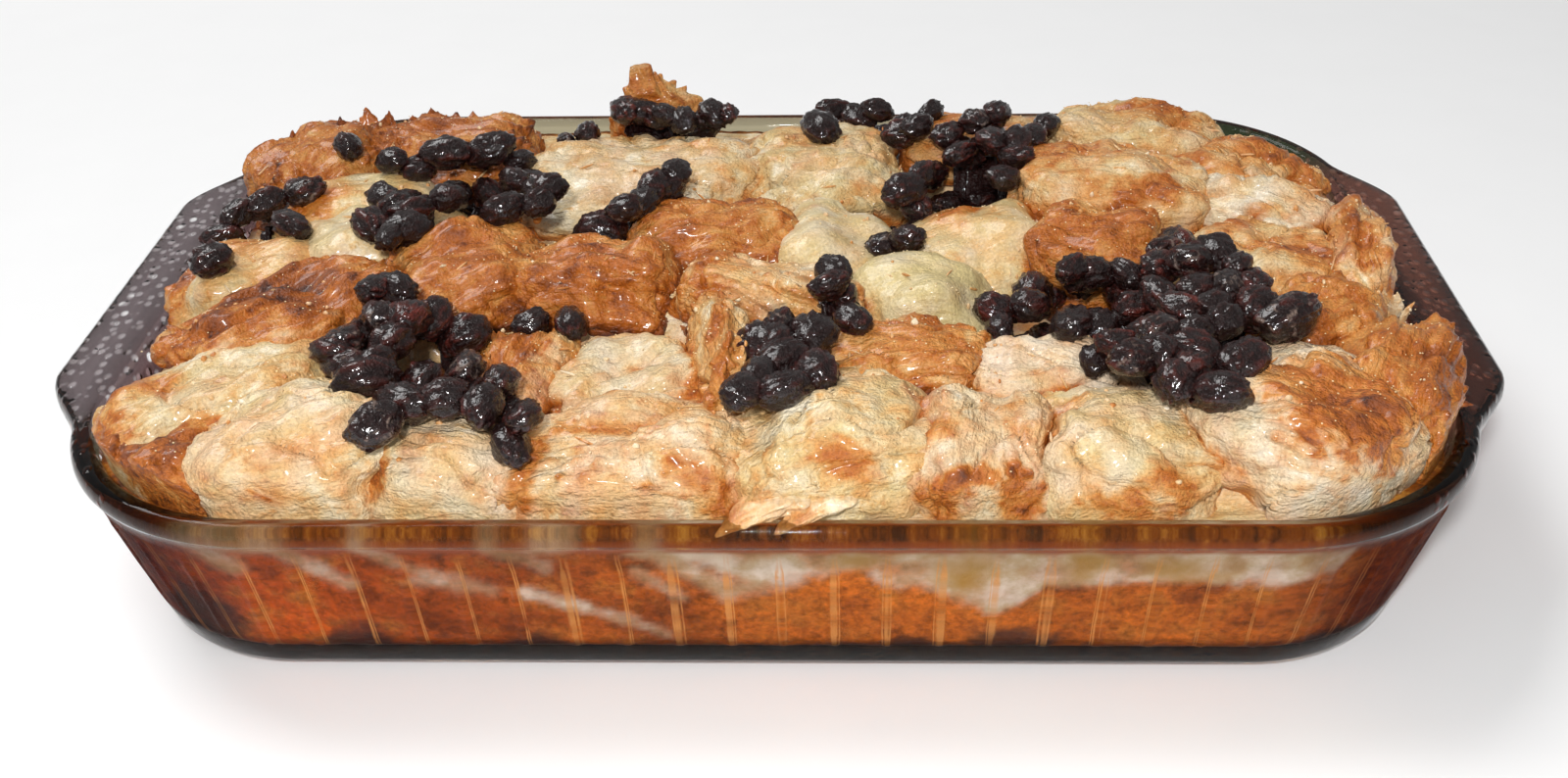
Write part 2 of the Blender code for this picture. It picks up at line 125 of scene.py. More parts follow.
# Torn bread: centre from the middle of its solid's box, height above the seat, half length and half width,
# turn about Z, lean about the long axis and tip about the short one (degrees), squareness, kind of
# surface, how toasted, how soaked in custard and how white it is, and how ragged its edges are.
TORN_BREAD = [
    Torn("front_left_corner", 0.3, -1.4, 13.6, 17, 15, 60, 6, -8, 3, "crumb", 0.3, 0.15, 0.2, 0),
    Torn("left_long_slice", 3.6, -0.1, 17.6, 31, 16, 33, 5, 3, 2.6, "crumb", 0.22, 0.35, 0.1, 0),
    Torn("front_left_bun", -0.3, -2.8, 19.6, 24, 20, 20, -8, 2, 2.6, "crumb", 0.2, 0.25, 0.2, 0),
    Torn("front_left_dome", 0.2, -1.7, 16.6, 19, 16, -12, -8, 0, 2.3, "crumb", 0.18, 0.25, 0.25, 0),
    Torn("front_long_roll", -0.1, 0.3, 17.6, 29, 17, 6, -8, 2, 2.6, "crumb", 0.24, 0.05, 0.25, 0.8),
    Torn("front_middle_bun", 0.5, -1.6, 20.6, 24, 20, 12, -8, 4, 2.5, "crumb", 0.2, 0.35, 0, 0.6),
    Torn("front_middle_crumb", -0.5, -1.2, 18.6, 19, 18, 80, 0, -3, 2.4, "crumb", 0.26, 0.1, 0.3, 0.8),
    Torn("front_right_crumb", -0.8, 0.2, 18.6, 21, 20, 10, -5, -4, 2.5, "crumb", 0.2, 0.4, 0.15, 0.5),
    Torn("front_right_bun", -1.7, -2.6, 24.6, 25, 24, -30, -6, 3, 2.7, "crumb", 0.2, 0.1, 0.45, 0.6),
    Torn("right_torn_crust", 2.3, 1.5, 20.6, 23, 15, 68, -8, 2, 3, "crust", 0.5, 0, 0, 0.9),
    Torn("left_striped_crust", 0.2, -3.5, 21.6, 31, 16, 42, 6, 2, 3, "crust", 0.5, 0, 0.35, 0.8),
    Torn("left_edge_roll", -0.2, 0.2, 17.6, 22, 17, 25, 3, 4, 2.5, "custard", 0.28, 0.45, 0, 0.8),
    Torn("left_pale_bun", -0.5, 0.4, 19.6, 17, 18, 40, 2, 2, 2.4, "custard", 0.1, 0.5, 0, 0),
    Torn("left_back_arch", -1.8, -0.7, 17.6, 25, 15, 8, -4, 0, 2.3, "custard", 0.22, 0.5, 0, 0),
    Torn("flaky_crust_left", 2.5, -0.6, 21.6, 20, 20, 30, 4, 3, 3.2, "crust", 0.5, 0, 0, 0.6),
    Torn("flaky_crust_middle", -1.7, -0.5, 21.6, 21, 18, -5, -5, 2, 3.2, "crust", 0.52, 0, 0, 0.6),
    Torn("flaky_crust_back", 4.5, 0.2, 20.6, 22, 16, 15, 6, 0, 3.2, "crust", 0.5, 0, 0, 0.6),
    Torn("raisin_bed", 2.4, 0.9, 15.6, 19, 14, 80, 0, 3, 2.6, "crust", 0.4, 0.1, 0.2, 0.5),
    Torn("custard_hollow", 0, -1.8, 14.6, 21, 21, 20, 2, 0, 2.4, "crumb", 0.24, 0.5, 0.3, 0.5),
    Torn("upright_crust", -1.5, -1, 26.6, 24, 6.5, 98, 10, -4, 3.4, "crust", 0.24, 0, 0, 1.6),
    Torn("split_roll", 0, -0.6, 22.6, 23, 14, -22, -10, 2, 2.8, "crust", 0.3, 0.1, 0.2, 0.5),
    Torn("middle_crumb", -3.3, 2.2, 17.6, 19, 21, 30, 0, 2, 2.3, "custard", 0.08, 0.55, 0.1, 0),
    Torn("yellow_dome", -0.2, 0.4, 20.6, 18, 16, 5, 0, 0, 2.1, "custard", 0.04, 0.9, 0, 0),
    Torn("middle_brown", 3.1, 0.7, 19.6, 22, 14, 8, 4, 2, 2.8, "crust", 0.42, 0.1, 0, 0.6),
    Torn("pale_square", 0.6, -0.7, 17.6, 19, 19, 20, 2, 3, 2.6, "custard", 0.2, 0.5, 0, 0),
    Torn("brown_square", -0.4, 0.2, 20.6, 16, 17, -8, 8, 2, 3.4, "crust", 0.5, 0.3, 0, 0),
    Torn("right_pale_crumb", -4, -0.7, 16.6, 22, 16, -8, 0, 0, 2.3, "crumb", 0.16, 0.15, 0.45, 0.9),
    Torn("ridged_slice", 2.9, 0.8, 23.6, 26, 19, -15, 6, 2, 3, "crumb", 0.3, 0.15, 0.1, 0.4),
    Torn("right_pale_slice", -1.7, 1.5, 21.6, 23, 14, -42, 5, 4, 2.7, "crumb", 0.18, 0.1, 0.35, 0.4),
    Torn("right_golden_slice", 2.8, 0.1, 20.6, 21, 17, -12, 4, 2, 2.8, "crumb", 0.3, 0.25, 0.1, 0.4),
    Torn("right_heel", -0.7, 1.3, 25.6, 25, 8, 84, 8, 0, 3, "crumb", 0.36, 0, 0.2, 0.6),
    Torn("right_fold", 0.3, 0.7, 21.6, 18, 14, 35, -8, 0, 2.8, "crust", 0.48, 0, 0.1, 1.4),
    Torn("back_left_crust", 1.9, -0.7, 19.6, 22, 20, 48, -4, 4, 3, "crust", 0.55, 0, 0, 1.5),
    Torn("back_brown_crust", -0.7, -0.2, 17.6, 23, 21, -6, -4, 2, 2.8, "crust", 0.55, 0, 0, 1.6),
    Torn("back_long_loaf", 2, 1.4, 17.6, 39, 24, 0, -3, 0, 2.4, "crumb", 0.18, 0.15, 0.1, 0.5),
    Torn("back_middle_bun", -2.5, -2.8, 18.6, 23, 28, 10, -3, 0, 2.4, "crumb", 0.18, 0.35, 0.05, 0.4),
    Torn("back_red_crust", 2.2, 0.6, 16.6, 22, 20, -8, -4, 0, 2.8, "crumb", 0.36, 0.2, 0.1, 0.4),
    Torn("back_right_bun", -2.3, -0.2, 20.6, 24, 21, -10, -4, 3, 2.6, "crumb", 0.26, 0.4, 0.05, 0.3),
    Torn("back_right_crust", -1.1, -3.7, 17.6, 21, 20, -48, 4, 4, 2.7, "crumb", 0.4, 0.2, 0.1, 0.4),
    Torn("back_peak", -0.2, -0.3, 34.6, 15, 8, 8, -6, 14, 1.7, "crumb", 0.38, 0.25, 0, 1.2),
]

# Browned patches, from the middle of the piece's box: place, reach along X, reach across, level.
BROWNED = {
    "front_left_corner": [
        (0, -6, 5, 16, 20, 0.74), (-6, 4, 2, 12, 16, 0.68), (2, -14, -2, 14, 12, 0.74),
    ],
    "left_long_slice": [
        (-15, -4, 7, 11, 5, 0.55), (6, -15, 3, 7, 2, 0.6), (-23, -8, 3, 5, 4, 0.85),
        (-20, -16, 0, 11, 7, 0.68),
    ],
    "front_left_bun": [
        (-5, -23, -4, 7, 8, 0.45), (11, -21, -3, 5, 7, 0.4),
    ],
    "front_left_dome": [
        (-15, -10, 1, 3, 6, 0.75), (-1, -14, 4, 5, 5, 0.35), (-5, -6, 7, 7, 4, 0.4),
    ],
    "front_long_roll": [
        (-23, -7, 3, 5, 7, 0.7), (-24, -16, -1, 3, 7, 0.6), (-10, 0, 6, 13, 3, 0.6),
        (15, -14, 2, 7, 3, 0.5), (3, -17, -4, 11, 3, 0.35), (22, -15, -7, 6, 3, 0.6),
    ],
    "front_middle_bun": [
        (2, -18, 7, 9, 3, 0.4), (-9, -22, -11, 10, 4, 0.5), (5, -20, 3, 6, 2, 0.6),
    ],
    "front_middle_crumb": [
        (-12, -8, 6, 7, 4, 0.6), (-4, -20, 2, 9, 2, 0.78), (7, -18, 2, 3, 2, 0.8),
        (8, -19, -6, 9, 3, 0.65), (-10, -20, -8, 6, 3, 0.65),
    ],
    "right_pale_crumb": [
        (-3, -13, 3, 6, 6, 0.42),
    ],
    "front_right_crumb": [
        (-2, -21, -7, 11, 3, 0.6), (9, -19, -2, 9, 4, 0.58),
    ],
    "front_right_bun": [
        (7, -19, 10, 16, 15, 0.72), (0, -7, 12, 15, 13, 0.62), (14, -4, 9, 9, 13, 0.6),
    ],
    "right_torn_crust": [
        (6, 0, 11, 10, 10, 0.66), (7, -15, 8, 7, 10, 0.72), (-3, 7, 9, 11, 10, 0.56),
    ],
    "right_fold": [
        (-1, -13, 7, 7, 4, 0.66), (10, 9, 7, 5, 18, 0.6),
    ],
    "right_heel": [
        (-2, -6, 11, 3, 16, 0.72), (0, 17, 10, 4, 8, 0.6),
    ],
    "right_golden_slice": [
        (13, -4, 9, 9, 8, 0.62), (-5, 13, 9, 8, 10, 0.5),
    ],
    "right_pale_slice": [
        (-4, -12, 6, 9, 3, 0.42), (9, -7, 10, 6, 6, 0.35),
    ],
    "back_right_crust": [
        (5, 0, 8, 9, 9, 0.66), (15, -9, 4, 6, 5, 0.55), (-17, -5, 7, 4, 22, 0.5),
    ],
    "back_right_bun": [
        (10, 3, 9, 12, 13, 0.6), (-4, -8, 9, 6, 6, 0.35),
    ],
    "ridged_slice": [
        (11, -14, 10, 13, 5, 0.64), (-6, 12, 11, 7, 8, 0.5), (-17, 14, 9, 7, 16, 0.6),
    ],
    "brown_square": [
        (-1, -3, 10, 14, 11, 0.66),
    ],
    "pale_square": [
        (-6, 9, 6, 8, 8, 0.72),
    ],
    "back_red_crust": [
        (0, -16, 6, 11, 9, 0.6), (-9, 3, 7, 6, 9, 0.6),
    ],
    "back_middle_bun": [
        (-8, 6, 7, 6, 8, 0.42), (17, 4, 6, 9, 11, 0.3),
    ],
    "back_long_loaf": [
        (-25, 11, 4, 12, 7, 0.35),
    ],
    "back_peak": [
        (-2, -5, 10, 4, 6, 0.6), (7, -3, 4, 5, 5, 0.5),
    ],
    "flaky_crust_left": [
        (4, -4, 10, 16, 21, 0.6),
    ],
    "flaky_crust_middle": [
        (-2, -5, 11, 17, 21, 0.62), (20, 1, 5, 6, 10, 0.45),
    ],
    "flaky_crust_back": [
        (3, -3, 10, 16, 16, 0.6), (18, -13, 3, 14, 5, 0.5),
    ],
    "split_roll": [
        (-13, -4, 10, 7, 19, 0.5), (13, -6, 8, 7, 4, 0.38),
    ],
    "upright_crust": [
        (-2, 2, 12, 2, 20, 0.6), (-2, -20, 6, 3, 11, 0.42), (2, -15, 13, 2, 12, 0.55),
    ],
    "raisin_bed": [
        (0, 8, 8, 9, 18, 0.66), (0, -9, 6, 5, 11, 0.6),
    ],
    "middle_brown": [
        (6, -2, 9, 15, 11, 0.56), (15, 10, 7, 7, 7, 0.6),
    ],
    "left_striped_crust": [
        (-3, 1, 9, 23, 13, 0.84), (-13, -17, 7, 16, 5, 0.76), (-21, -14, -1, 6, 7, 0.74),
    ],
    "left_edge_roll": [
        (-17, -2, 2, 5, 14, 0.76), (-10, 8, 5, 12, 10, 0.56),
    ],
    "left_back_arch": [
        (-14, -9, 8, 11, 8, 0.65),
    ],
    "back_left_crust": [
        (22, -5, -1, 8, 5, 0.3), (-6, -10, 8, 13, 13, 0.54), (6, -5, 10, 9, 12, 0.5),
        (15, 9, 7, 6, 13, 0.66), (-13, -11, 5, 6, 8, 0.6),
    ],
    "back_brown_crust": [
        (-8, 6, 7, 20, 13, 0.66),
    ],
}

# Heaps and single raisins: half length, half width and height of the heap, its turn, and its centre from
# the middle of its box; then each raisin from that middle, with its turn (degrees) and its size.
HEAPS = {
    "raisins_front_left_upper": ((23, 13, 10.5, 18, -1.3, 0.3), [
        (-5.3, 7.3, -35, 1.0), (-10.3, 5.3, 70, 0.8), (13.7, -0.7, 50, 1.1), (5.7, -0.7, 70, 1.0),
        (1.7, -7.7, 65, 1.0), (-4.3, -7.7, 40, 0.9), (28.7, 7.3, 30, 0.75), (38.7, 8.3, -75, 0.9),
    ]),
    "raisins_front_left_lower": ((27, 12, 10.5, -22, 0.3, -0.4), [
        (-11.7, 14.6, 55, 1.0), (-2.7, 5.6, 85, 1.0), (9.3, 0.6, -85, 0.95),
        (18.3, -4.4, -90, 0.85), (-14.7, -0.4, 20, 1.25), (-2.7, -12.4, -25, 1.1),
        (7.3, -12.4, 20, 0.95), (16.3, -15.4, 85, 1.0), (23.3, -23.4, -65, 0.9),
        (26.3, -19.4, -90, 0.85), (-6.7, -22.4, 55, 1.1), (-23.7, 13.6, 90, 1.0),
        (-24.7, 8.6, -20, 0.9),
    ]),
    "raisins_back_left": ((24, 13, 10.5, -8, 0.3, 1), [
        (-20.7, 2, 25, 0.85), (-12.7, 4, 10, 1.15), (0.3, 7, 10, 1.1), (9.3, -6, -50, 0.9),
        (17.3, -14, -50, 0.95), (-43.7, 9, -55, 0.8), (-28.7, 2, -20, 0.75),
    ]),
    "raisins_left_middle": ((16, 9, 10.5, 72, 0, 0.9), [
        (5, -3.1, 20, 1.1), (7, -15.1, 25, 1.0), (12, 15.9, -90, 1.0), (15, 3.9, 45, 0.85),
        (-5, 9.9, -45, 0.9), (-1, 17.9, 45, 0.7), (4, -23.1, 90, 0.8),
    ]),
    "raisins_left_rim": ((16, 8, 10.5, 14, 0.5, 0.2), [
        (-16.5, -15.8, 50, 0.9), (-7.5, -17.8, 25, 0.9), (-4.5, -10.8, 50, 0.85),
        (2.5, -6.8, 35, 0.95),
    ]),
    "raisins_middle_row": ((21, 9, 10.5, 10, 1.6, 0.2), [
        (-2.4, -11.8, 0, 1.15), (8.6, -9.8, 55, 1.0), (12.6, -0.8, 65, 1.1), (17.6, 5.2, 65, 0.8),
        (5.6, -16.8, 20, 0.8), (-29.4, -11.8, 25, 0.95), (-19.4, -9.8, 60, 0.8),
        (-17.4, -3.8, 45, 0.8),
    ]),
    "raisins_centre_front": ((19, 11, 10.5, 66, -0.9, 1), [
        (-4.9, 1, 85, 1.1), (0.1, 8, 75, 0.85), (8.1, 6, 75, 1.15), (1.1, -7, 35, 1.0),
        (-3.9, -16, 75, 1.0), (-7.9, -24, 70, 0.9), (2.1, -22, 20, 1.0), (9.1, -13, -65, 1.05),
        (6.1, 19, 20, 0.5),
    ]),
    "raisins_centre": ((13, 9, 10.5, -35, 0.5, 0.4), [
        (-2.5, 6.4, -70, 0.9), (-3.5, -1.6, 20, 0.8), (2.5, -10.6, -50, 0.8),
    ]),
    "raisins_back_right_upper": ((18, 15, 10.5, 5, 0.2, 1), [
        (-24.8, 22, 10, 0.9), (-19.8, 18, 25, 0.8), (-15.8, 4, 55, 0.9), (-10.8, 12, 25, 0.8),
        (-2.8, 15, -45, 0.8), (4.2, 20, 75, 0.85), (-7.8, 0, 40, 0.9), (1.2, 0, -70, 0.9),
        (9.2, 0, 75, 1.0), (4.2, -17, 20, 0.8), (-3.8, -10, 20, 0.9), (-15.8, -10, 80, 0.8),
        (20.2, 21, 70, 0.85),
    ]),
    "raisins_back_right_lower": ((16, 10, 10.5, 58, -0.9, 0.4), [
        (-4.9, 13.4, 75, 0.85), (-3.9, -0.6, 40, 1.1), (1.1, 6.4, 60, 0.8), (-9.9, -22.6, 20, 0.8),
        (-3.9, -25.6, -40, 0.8),
    ]),
    "raisins_right_main": ((29, 20, 10.5, -12, -2.1, 1.4), [
        (-0.1, 29.4, -80, 1.15), (-5.1, 21.4, 20, 0.8), (-16.1, 12.4, -55, 0.9),
        (-8.1, 10.4, 55, 1.0), (-1.1, 7.4, 0, 1.0), (6.9, 10.4, -60, 0.95), (9.9, 2.4, 65, 0.8),
        (-25.1, -5.6, 35, 1.0), (-16.1, -2.6, 20, 0.9), (-9.1, -4.6, -55, 1.1),
        (-1.1, -6.6, 35, 1.0), (5.9, -8.6, 65, 0.9), (11.9, -6.6, -85, 0.85),
        (-21.1, -15.6, 70, 0.9), (-15.1, -18.6, 20, 1.0), (-7.1, -16.6, -40, 1.0),
        (0.9, -16.6, 45, 0.95), (10.9, -16.6, 35, 0.9), (17.9, -20.6, 25, 1.25),
        (-33.1, -11.6, 85, 1.0), (1.9, -24.6, 55, 0.85),
    ]),
    "raisins_right_arm": ((17, 11, 10.5, 20, 0.8, 0.9), [
        (-1.2, 5.9, 70, 1.0), (-10.2, -3.1, 50, 0.95), (-13.2, -10.1, -20, 0.8),
        (-3.2, -7.1, 35, 0.9), (11.8, -0.1, 0, 1.0), (6.8, -5.1, 55, 0.8),
        (-12.2, -19.1, -90, 0.75),
    ]),
    "raisins_right_front": ((16, 10, 10.5, -10, -1, 0.9), [
        (-23, 12.9, 70, 0.8), (-18, 11.9, -5, 0.9), (-9, 9.9, 55, 1.0), (0, 10.9, 40, 0.9),
        (-16, -1.1, 20, 1.0), (-10, -0.1, -65, 0.8), (-8, -11.1, 65, 1.0), (-4, -7.1, 20, 0.8),
        (1, -16.1, -20, 1.0), (8, -3.1, 25, 1.05),
    ]),
    "raisins_back_rim": ((24, 9, 10.5, -4, -0.1, 0.1), [
        (-22.1, 4.1, 10, 0.8), (-13.1, 3.1, 25, 1.0), (-5.1, -4.9, -35, 0.9), (0.9, -6.9, 10, 0.8),
        (17.9, -4.9, 55, 0.8),
    ]),
    "raisins_back_slope": ((19, 8, 10.5, 2, -0.3, 0), [
        (-30.3, -1, -60, 0.6), (-23.3, -2, -60, 0.7), (-5.3, 0, 25, 0.9), (2.7, -6, -25, 0.7),
        (7.7, -8, -65, 0.8), (14.7, -2, 45, 0.7), (16.7, -3, -65, 0.9), (21.7, -5, -70, 0.6),
    ]),
    "raisin_left_slope": (None, [(-2, -1, -55, 1.0)]),
    "raisin_left_edge": (None, [(1, 0, 70, 1.0)]),
    "raisin_back_large": (None, [(0, 1, -60, 1.15)]),
}

# --- Small helpers ------------------------------------------------------------------------------------


def linear(hex_colour):
    """An sRGB hex colour as linear red, green, blue and alpha."""
    parts = [int(hex_colour[at : at + 2], 16) / 255 for at in (1, 3, 5)]
    return tuple(p / 12.92 if p <= 0.04045 else ((p + 0.055) / 1.055) ** 2.4 for p in parts) + (1.0,)


def smooth_step(low, high, value):
    """A smooth rise from 0 at low to 1 at high."""
    share = np.clip((value - low) / (high - low), 0.0, 1.0)
    return share * share * (3 - 2 * share)


def fill_inputs(tree, node, inputs):
    """Sets a node's inputs, by name or place: a node or an output is linked, anything else is a value."""
    named = {socket.name: socket for socket in node.inputs if socket.enabled}
    for key, source in inputs.items():
        socket = node.inputs[key] if isinstance(key, int) else named[key]
        if isinstance(source, bpy.types.Node):
            source = next(output for output in source.outputs if output.enabled)
        if isinstance(source, bpy.types.NodeSocket):
            tree.links.new(source, socket)
        else:
            socket.default_value = source


def add_node(tree, kind, inputs=None, **settings):
    """Adds one shader node with its settings and inputs."""
    made = tree.nodes.new("ShaderNode" + kind)
    for name, value in settings.items():
        setattr(made, name, value)
    fill_inputs(tree, made, inputs or {})
    return made


def new_material(name):
    """A material with its node tree, its Principled shader and its Object coordinates."""
    made = bpy.data.materials.new(name)
    made.use_nodes = True
    tree = made.node_tree
    shader = tree.nodes["Principled BSDF"]
    place = add_node(tree, "TexCoord").outputs["Object"]
    return made, tree, shader, place


def fill_ramp(ramp, stops):
    """Sets a colour ramp's stops, given as (place, colour)."""
    elements = ramp.color_ramp.elements
    while len(elements) < len(stops):
        elements.new(1.0)
    for element, (place, value) in zip(elements, stops):
        element.position = place
        element.color = value


def mesh_from(bm, name):
    """Turns a finished bmesh into a mesh."""
    mesh = bpy.data.meshes.new(name)
    bm.to_mesh(mesh)
    bm.free()
    return mesh


def next_ring(bm, edges):
    """Extrudes a ring of edges once, and gives the new ring's points and edges."""
    made = bmesh.ops.extrude_edge_only(bm, edges=edges)["geom"]
    verts = [item for item in made if isinstance(item, bmesh.types.BMVert)]
    edges = [item for item in made if isinstance(item, bmesh.types.BMEdge) and item.is_boundary]
    return verts, edges


def place_verts(verts, spots):
    """Moves bmesh points to spots given in mm."""
    for vert, spot in zip(verts, spots * MM):
        vert.co = spot


def new_piece(name, mesh, slot_name, *nodes):
    """Puts a finished mesh in the scene, riding on the part's one body and standing for its CAD nodes."""
    made = bpy.data.objects.new(name, mesh)
    bpy.context.scene.collection.objects.link(made)
    mesh.shade_smooth()
    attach(made, "root")
    if nodes:
        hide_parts(*nodes)
    return made


def read_points(mesh):
    flat = np.empty(len(mesh.vertices) * 3, np.float32)
    mesh.vertices.foreach_get("co", flat)
    return flat.reshape(-1, 3).astype(np.float64)


def write_points(mesh, points):
    mesh.vertices.foreach_set("co", np.asarray(points, np.float32).ravel())
    mesh.update()


def read_normals(mesh):
    flat = np.empty(len(mesh.vertices) * 3, np.float32)
    mesh.vertex_normals.foreach_get("vector", flat)
    return flat.reshape(-1, 3).astype(np.float64)


def write_values(mesh, **named):
    """Stores numbers per vertex under their names, for the materials."""
    for name, values in named.items():
        found = mesh.attributes.get(name) or mesh.attributes.new(name, "FLOAT", "POINT")
        found.data.foreach_set("value", np.asarray(values, np.float32))


def read_values(mesh, name):
    values = np.empty(len(mesh.vertices), np.float32)
    mesh.attributes[name].data.foreach_get("value", values)
    return values


def write_grain(mesh, spots):
    """Stores where each vertex lies (mm) along, across and up the grain of its own dough."""
    write_values(mesh, along=spots[:, 0], across=spots[:, 1], up=spots[:, 2])


# --- Smooth noise over many points at once ------------------------------------------------------------

DICE = np.random.default_rng(17)
ORDER = DICE.permutation(256)
ORDER = np.concatenate((ORDER, ORDER))
SLOPES = DICE.normal(size=(256, 3))
SLOPES /= np.linalg.norm(SLOPES, axis=1)[:, None]


def swell(spots):
    """Smooth noise, about -1 to 1, with one hill or dip to each unit of length."""
    cell = np.floor(spots).astype(np.int64)
    part = spots - cell
    fade = part**3 * (part * (part * 6 - 15) + 10)
    total = np.zeros(len(spots))
    for corner in np.ndindex(2, 2, 2):
        at = (cell + corner) & 255
        slope = SLOPES[ORDER[ORDER[ORDER[at[:, 0]] + at[:, 1]] + at[:, 2]]]
        weight = np.prod(np.where(corner, fade, 1 - fade), axis=1)
        total += weight * ((part - corner) * slope).sum(axis=1)
    return total * 1.7


def puffs(spots):
    """Rounded humps parted by sharp creases, about -0.5 to 1."""
    return np.abs(swell(spots)) * 2 - 0.5


def drift(spots, starts=(3, 11, 29)):
    """A smooth shift of each point in all three directions."""
    return np.stack([swell(spots + at) for at in starts], axis=1)


# --- The dish's outline -------------------------------------------------------------------------------


def dish_outline(inset, lug, step):
    """The dish seen from above in mm, drawn in by inset, with its end lugs out by the share lug."""
    half_x, half_y = RIM_LONG / 2 - inset, RIM_WIDE / 2 - inset
    radius = CORNER - inset
    core_x, core_y = half_x - radius, half_y - radius
    arc_count = int(round(CORNER * pi / 2 / step))
    points = []
    for quarter in range(4):
        side_x = 1 if quarter in (0, 3) else -1
        side_y = 1 if quarter in (0, 1) else -1
        angles = (quarter + np.arange(arc_count) / arc_count) * pi / 2
        points.append(
            np.stack(
                (side_x * core_x + radius * np.cos(angles), side_y * core_y + radius * np.sin(angles)), axis=1
            )
        )
        turn = (quarter + 1) * pi / 2
        start = np.array((side_x * core_x + radius * cos(turn), side_y * core_y + radius * sin(turn)))
        run = 2 * core_x if quarter in (0, 2) else 2 * core_y
        way = np.array((-sin(turn), cos(turn)))
        count = int(round(run / step))
        points.append(start + way * (np.arange(count) / count * run)[:, None])
    outline = np.concatenate(points)
    push = LUG_REACH * lug * (1 - smooth_step(LUG_FLAT, LUG_ROOT, np.abs(outline[:, 1])))
    outline[:, 0] += np.sign(outline[:, 0]) * push * (np.abs(outline[:, 0]) > core_x)
    return outline


def depth_in_outline(points, inset):
    """How far each plan point (mm) lies inside the rounded outline, and the way out of it."""
    radius = CORNER - inset
    beyond = np.abs(points) - (RIM_LONG / 2 - CORNER, RIM_WIDE / 2 - CORNER)
    outside = np.maximum(beyond, 0)
    far = np.linalg.norm(outside, axis=1)
    depth = radius - far - np.minimum(beyond.max(axis=1), 0)
    flat = np.where((beyond[:, 0] > beyond[:, 1])[:, None], (1.0, 0.0), (0.0, 1.0))
    way = np.where((far > 1e-6)[:, None], outside / np.maximum(far, 1e-6)[:, None], flat)
    return depth, way * np.sign(points)


def inner_inset(height):
    """How far in from the rim the glass's inner face lies at a height in mm."""
    return np.interp(height, (5, 5.4, 6.5, 9, 12, 49, 52), (27, 24, 21.5, 19.4, 18.5, 6.5, 5.5))


# --- What a user may change ---------------------------------------------------------------------------


def colour_property(name, description, hex_colour):
    """A colour that a user may change."""
    return FloatVectorProperty(
        name=name, description=description, default=linear(hex_colour), size=4, min=0, max=1, subtype="COLOR"
    )


def length_property(name, description, millimetres):
    """A length that a user may change."""
    return FloatProperty(
        name=name, description=description, default=millimetres * MM, min=0, precision=5, unit="LENGTH"
    )


class DishSettings(bpy.types.PropertyGroup):
    glass: colour_property("Glass", "Tint of the pressed glass", "#f2ece0")
    flute_pitch: length_property("Flute pitch", "Distance between the upright flutes", 12.5)
    flute_relief: length_property("Flute relief", "How far a flute stands out of the wall", 0.35)


class PuddingSettings(bpy.types.PropertyGroup):
    baked: colour_property("Baked", "Custard-soaked bread browned against the glass", "#c66a1c")
    dark: colour_property("Dark", "The same where it is browned most", "#8c420e")
    soaked: colour_property("Soaked", "Pale bread that stayed soft", "#c4b29c")
    syrup: colour_property("Syrup", "Dark raisin syrup along the bottom edge", "#2b1a20")


class BreadSettings(bpy.types.PropertyGroup):
    crumb: colour_property("Crumb", "Pale soft crumb", "#eed4a6")
    golden: colour_property("Golden", "Lightly toasted crumb", "#e2b373")
    crust: colour_property("Crust", "Browned crust", "#b8651c")
    burnt: colour_property("Burnt", "Darkest tips", "#4a2210")
    custard: colour_property("Custard", "Set custard that soaks the crumb", "#d3be86")
    white: colour_property("White", "Fluffy crumb that has taken up least custard", "#e6d9c8")
    relief: FloatProperty(
        name="Relief", description="Strength of tears, creases and flakes", default=1.0, min=0
    )


class RaisinSettings(bpy.types.PropertyGroup):
    dark: colour_property("Dark skin", "Darkest raisin skin", "#1d0d0c")
    red: colour_property("Red skin", "Raisin skin where light comes through", "#6a271d")
    length: length_property("Length", "Length of an ordinary plumped raisin", 13.5)
    wrinkles: FloatProperty(
        name="Wrinkles", description="Wrinkle depth as a share of the girth", default=0.14, min=0
    )


class StageSettings(bpy.types.PropertyGroup):
    floor: colour_property("Floor", "Plain pale floor", "#f4f4f4")
    key_power: FloatProperty(
        name="Key light", description="Power of the large soft light", default=30.0, min=0, unit="POWER"
    )


# --- Glass dish ---------------------------------------------------------------------------------------

# Inset, height and lug share down the outside from the base, over the rim and down the inside.
DISH_PROFILE = (
    (19, 0, 0), (16.6, 0.25, 0), (14.9, 1.4, 0), (13.7, 3.4, 0), (13, 6, 0), (12.4, 8, 0), (11.9, 10, 0),
    (10.7, 14, 0), (9.3, 19, 0), (7.8, 24, 0), (6.4, 29, 0), (5, 34, 0), (4.1, 37, 0), (3.5, 39, 0),
    (2.9, 41, 0), (2.2, 43.4, 0), (1.7, 45.1, 0), (1.2, 45.9, 0.35), (0.5, 46.3, 0.8), (0.1, 47.2, 1),
    (0, 48.5, 1), (0.2, 50, 1), (0.8, 51.3, 1), (2, 52, 1), (2.9, 51.95, 0.75), (3.8, 51.8, 0.4),
    (4.6, 51.6, 0.12), (5, 51.4, 0), (5.8, 50.6, 0), (6.3, 49.6, 0), (6.8, 48, 0), (7.6, 45.6, 0),
    (8.4, 43.2, 0), (9.2, 40.7, 0), (10.1, 38, 0), (11.4, 34, 0), (13.3, 28, 0), (15.3, 22, 0),
    (17.2, 16, 0), (18.5, 12, 0), (19.4, 9, 0), (21.5, 6.5, 0), (24, 5.4, 0), (27, 5, 0),
)
RIM_FOOT = 45.5  # height at which the rim band sets out
WALL_STEP = 0.85  # mm from point to point round the wall
FLUTE_HALF = 0.8  # mm from a flute's crest to where it has mostly fallen away


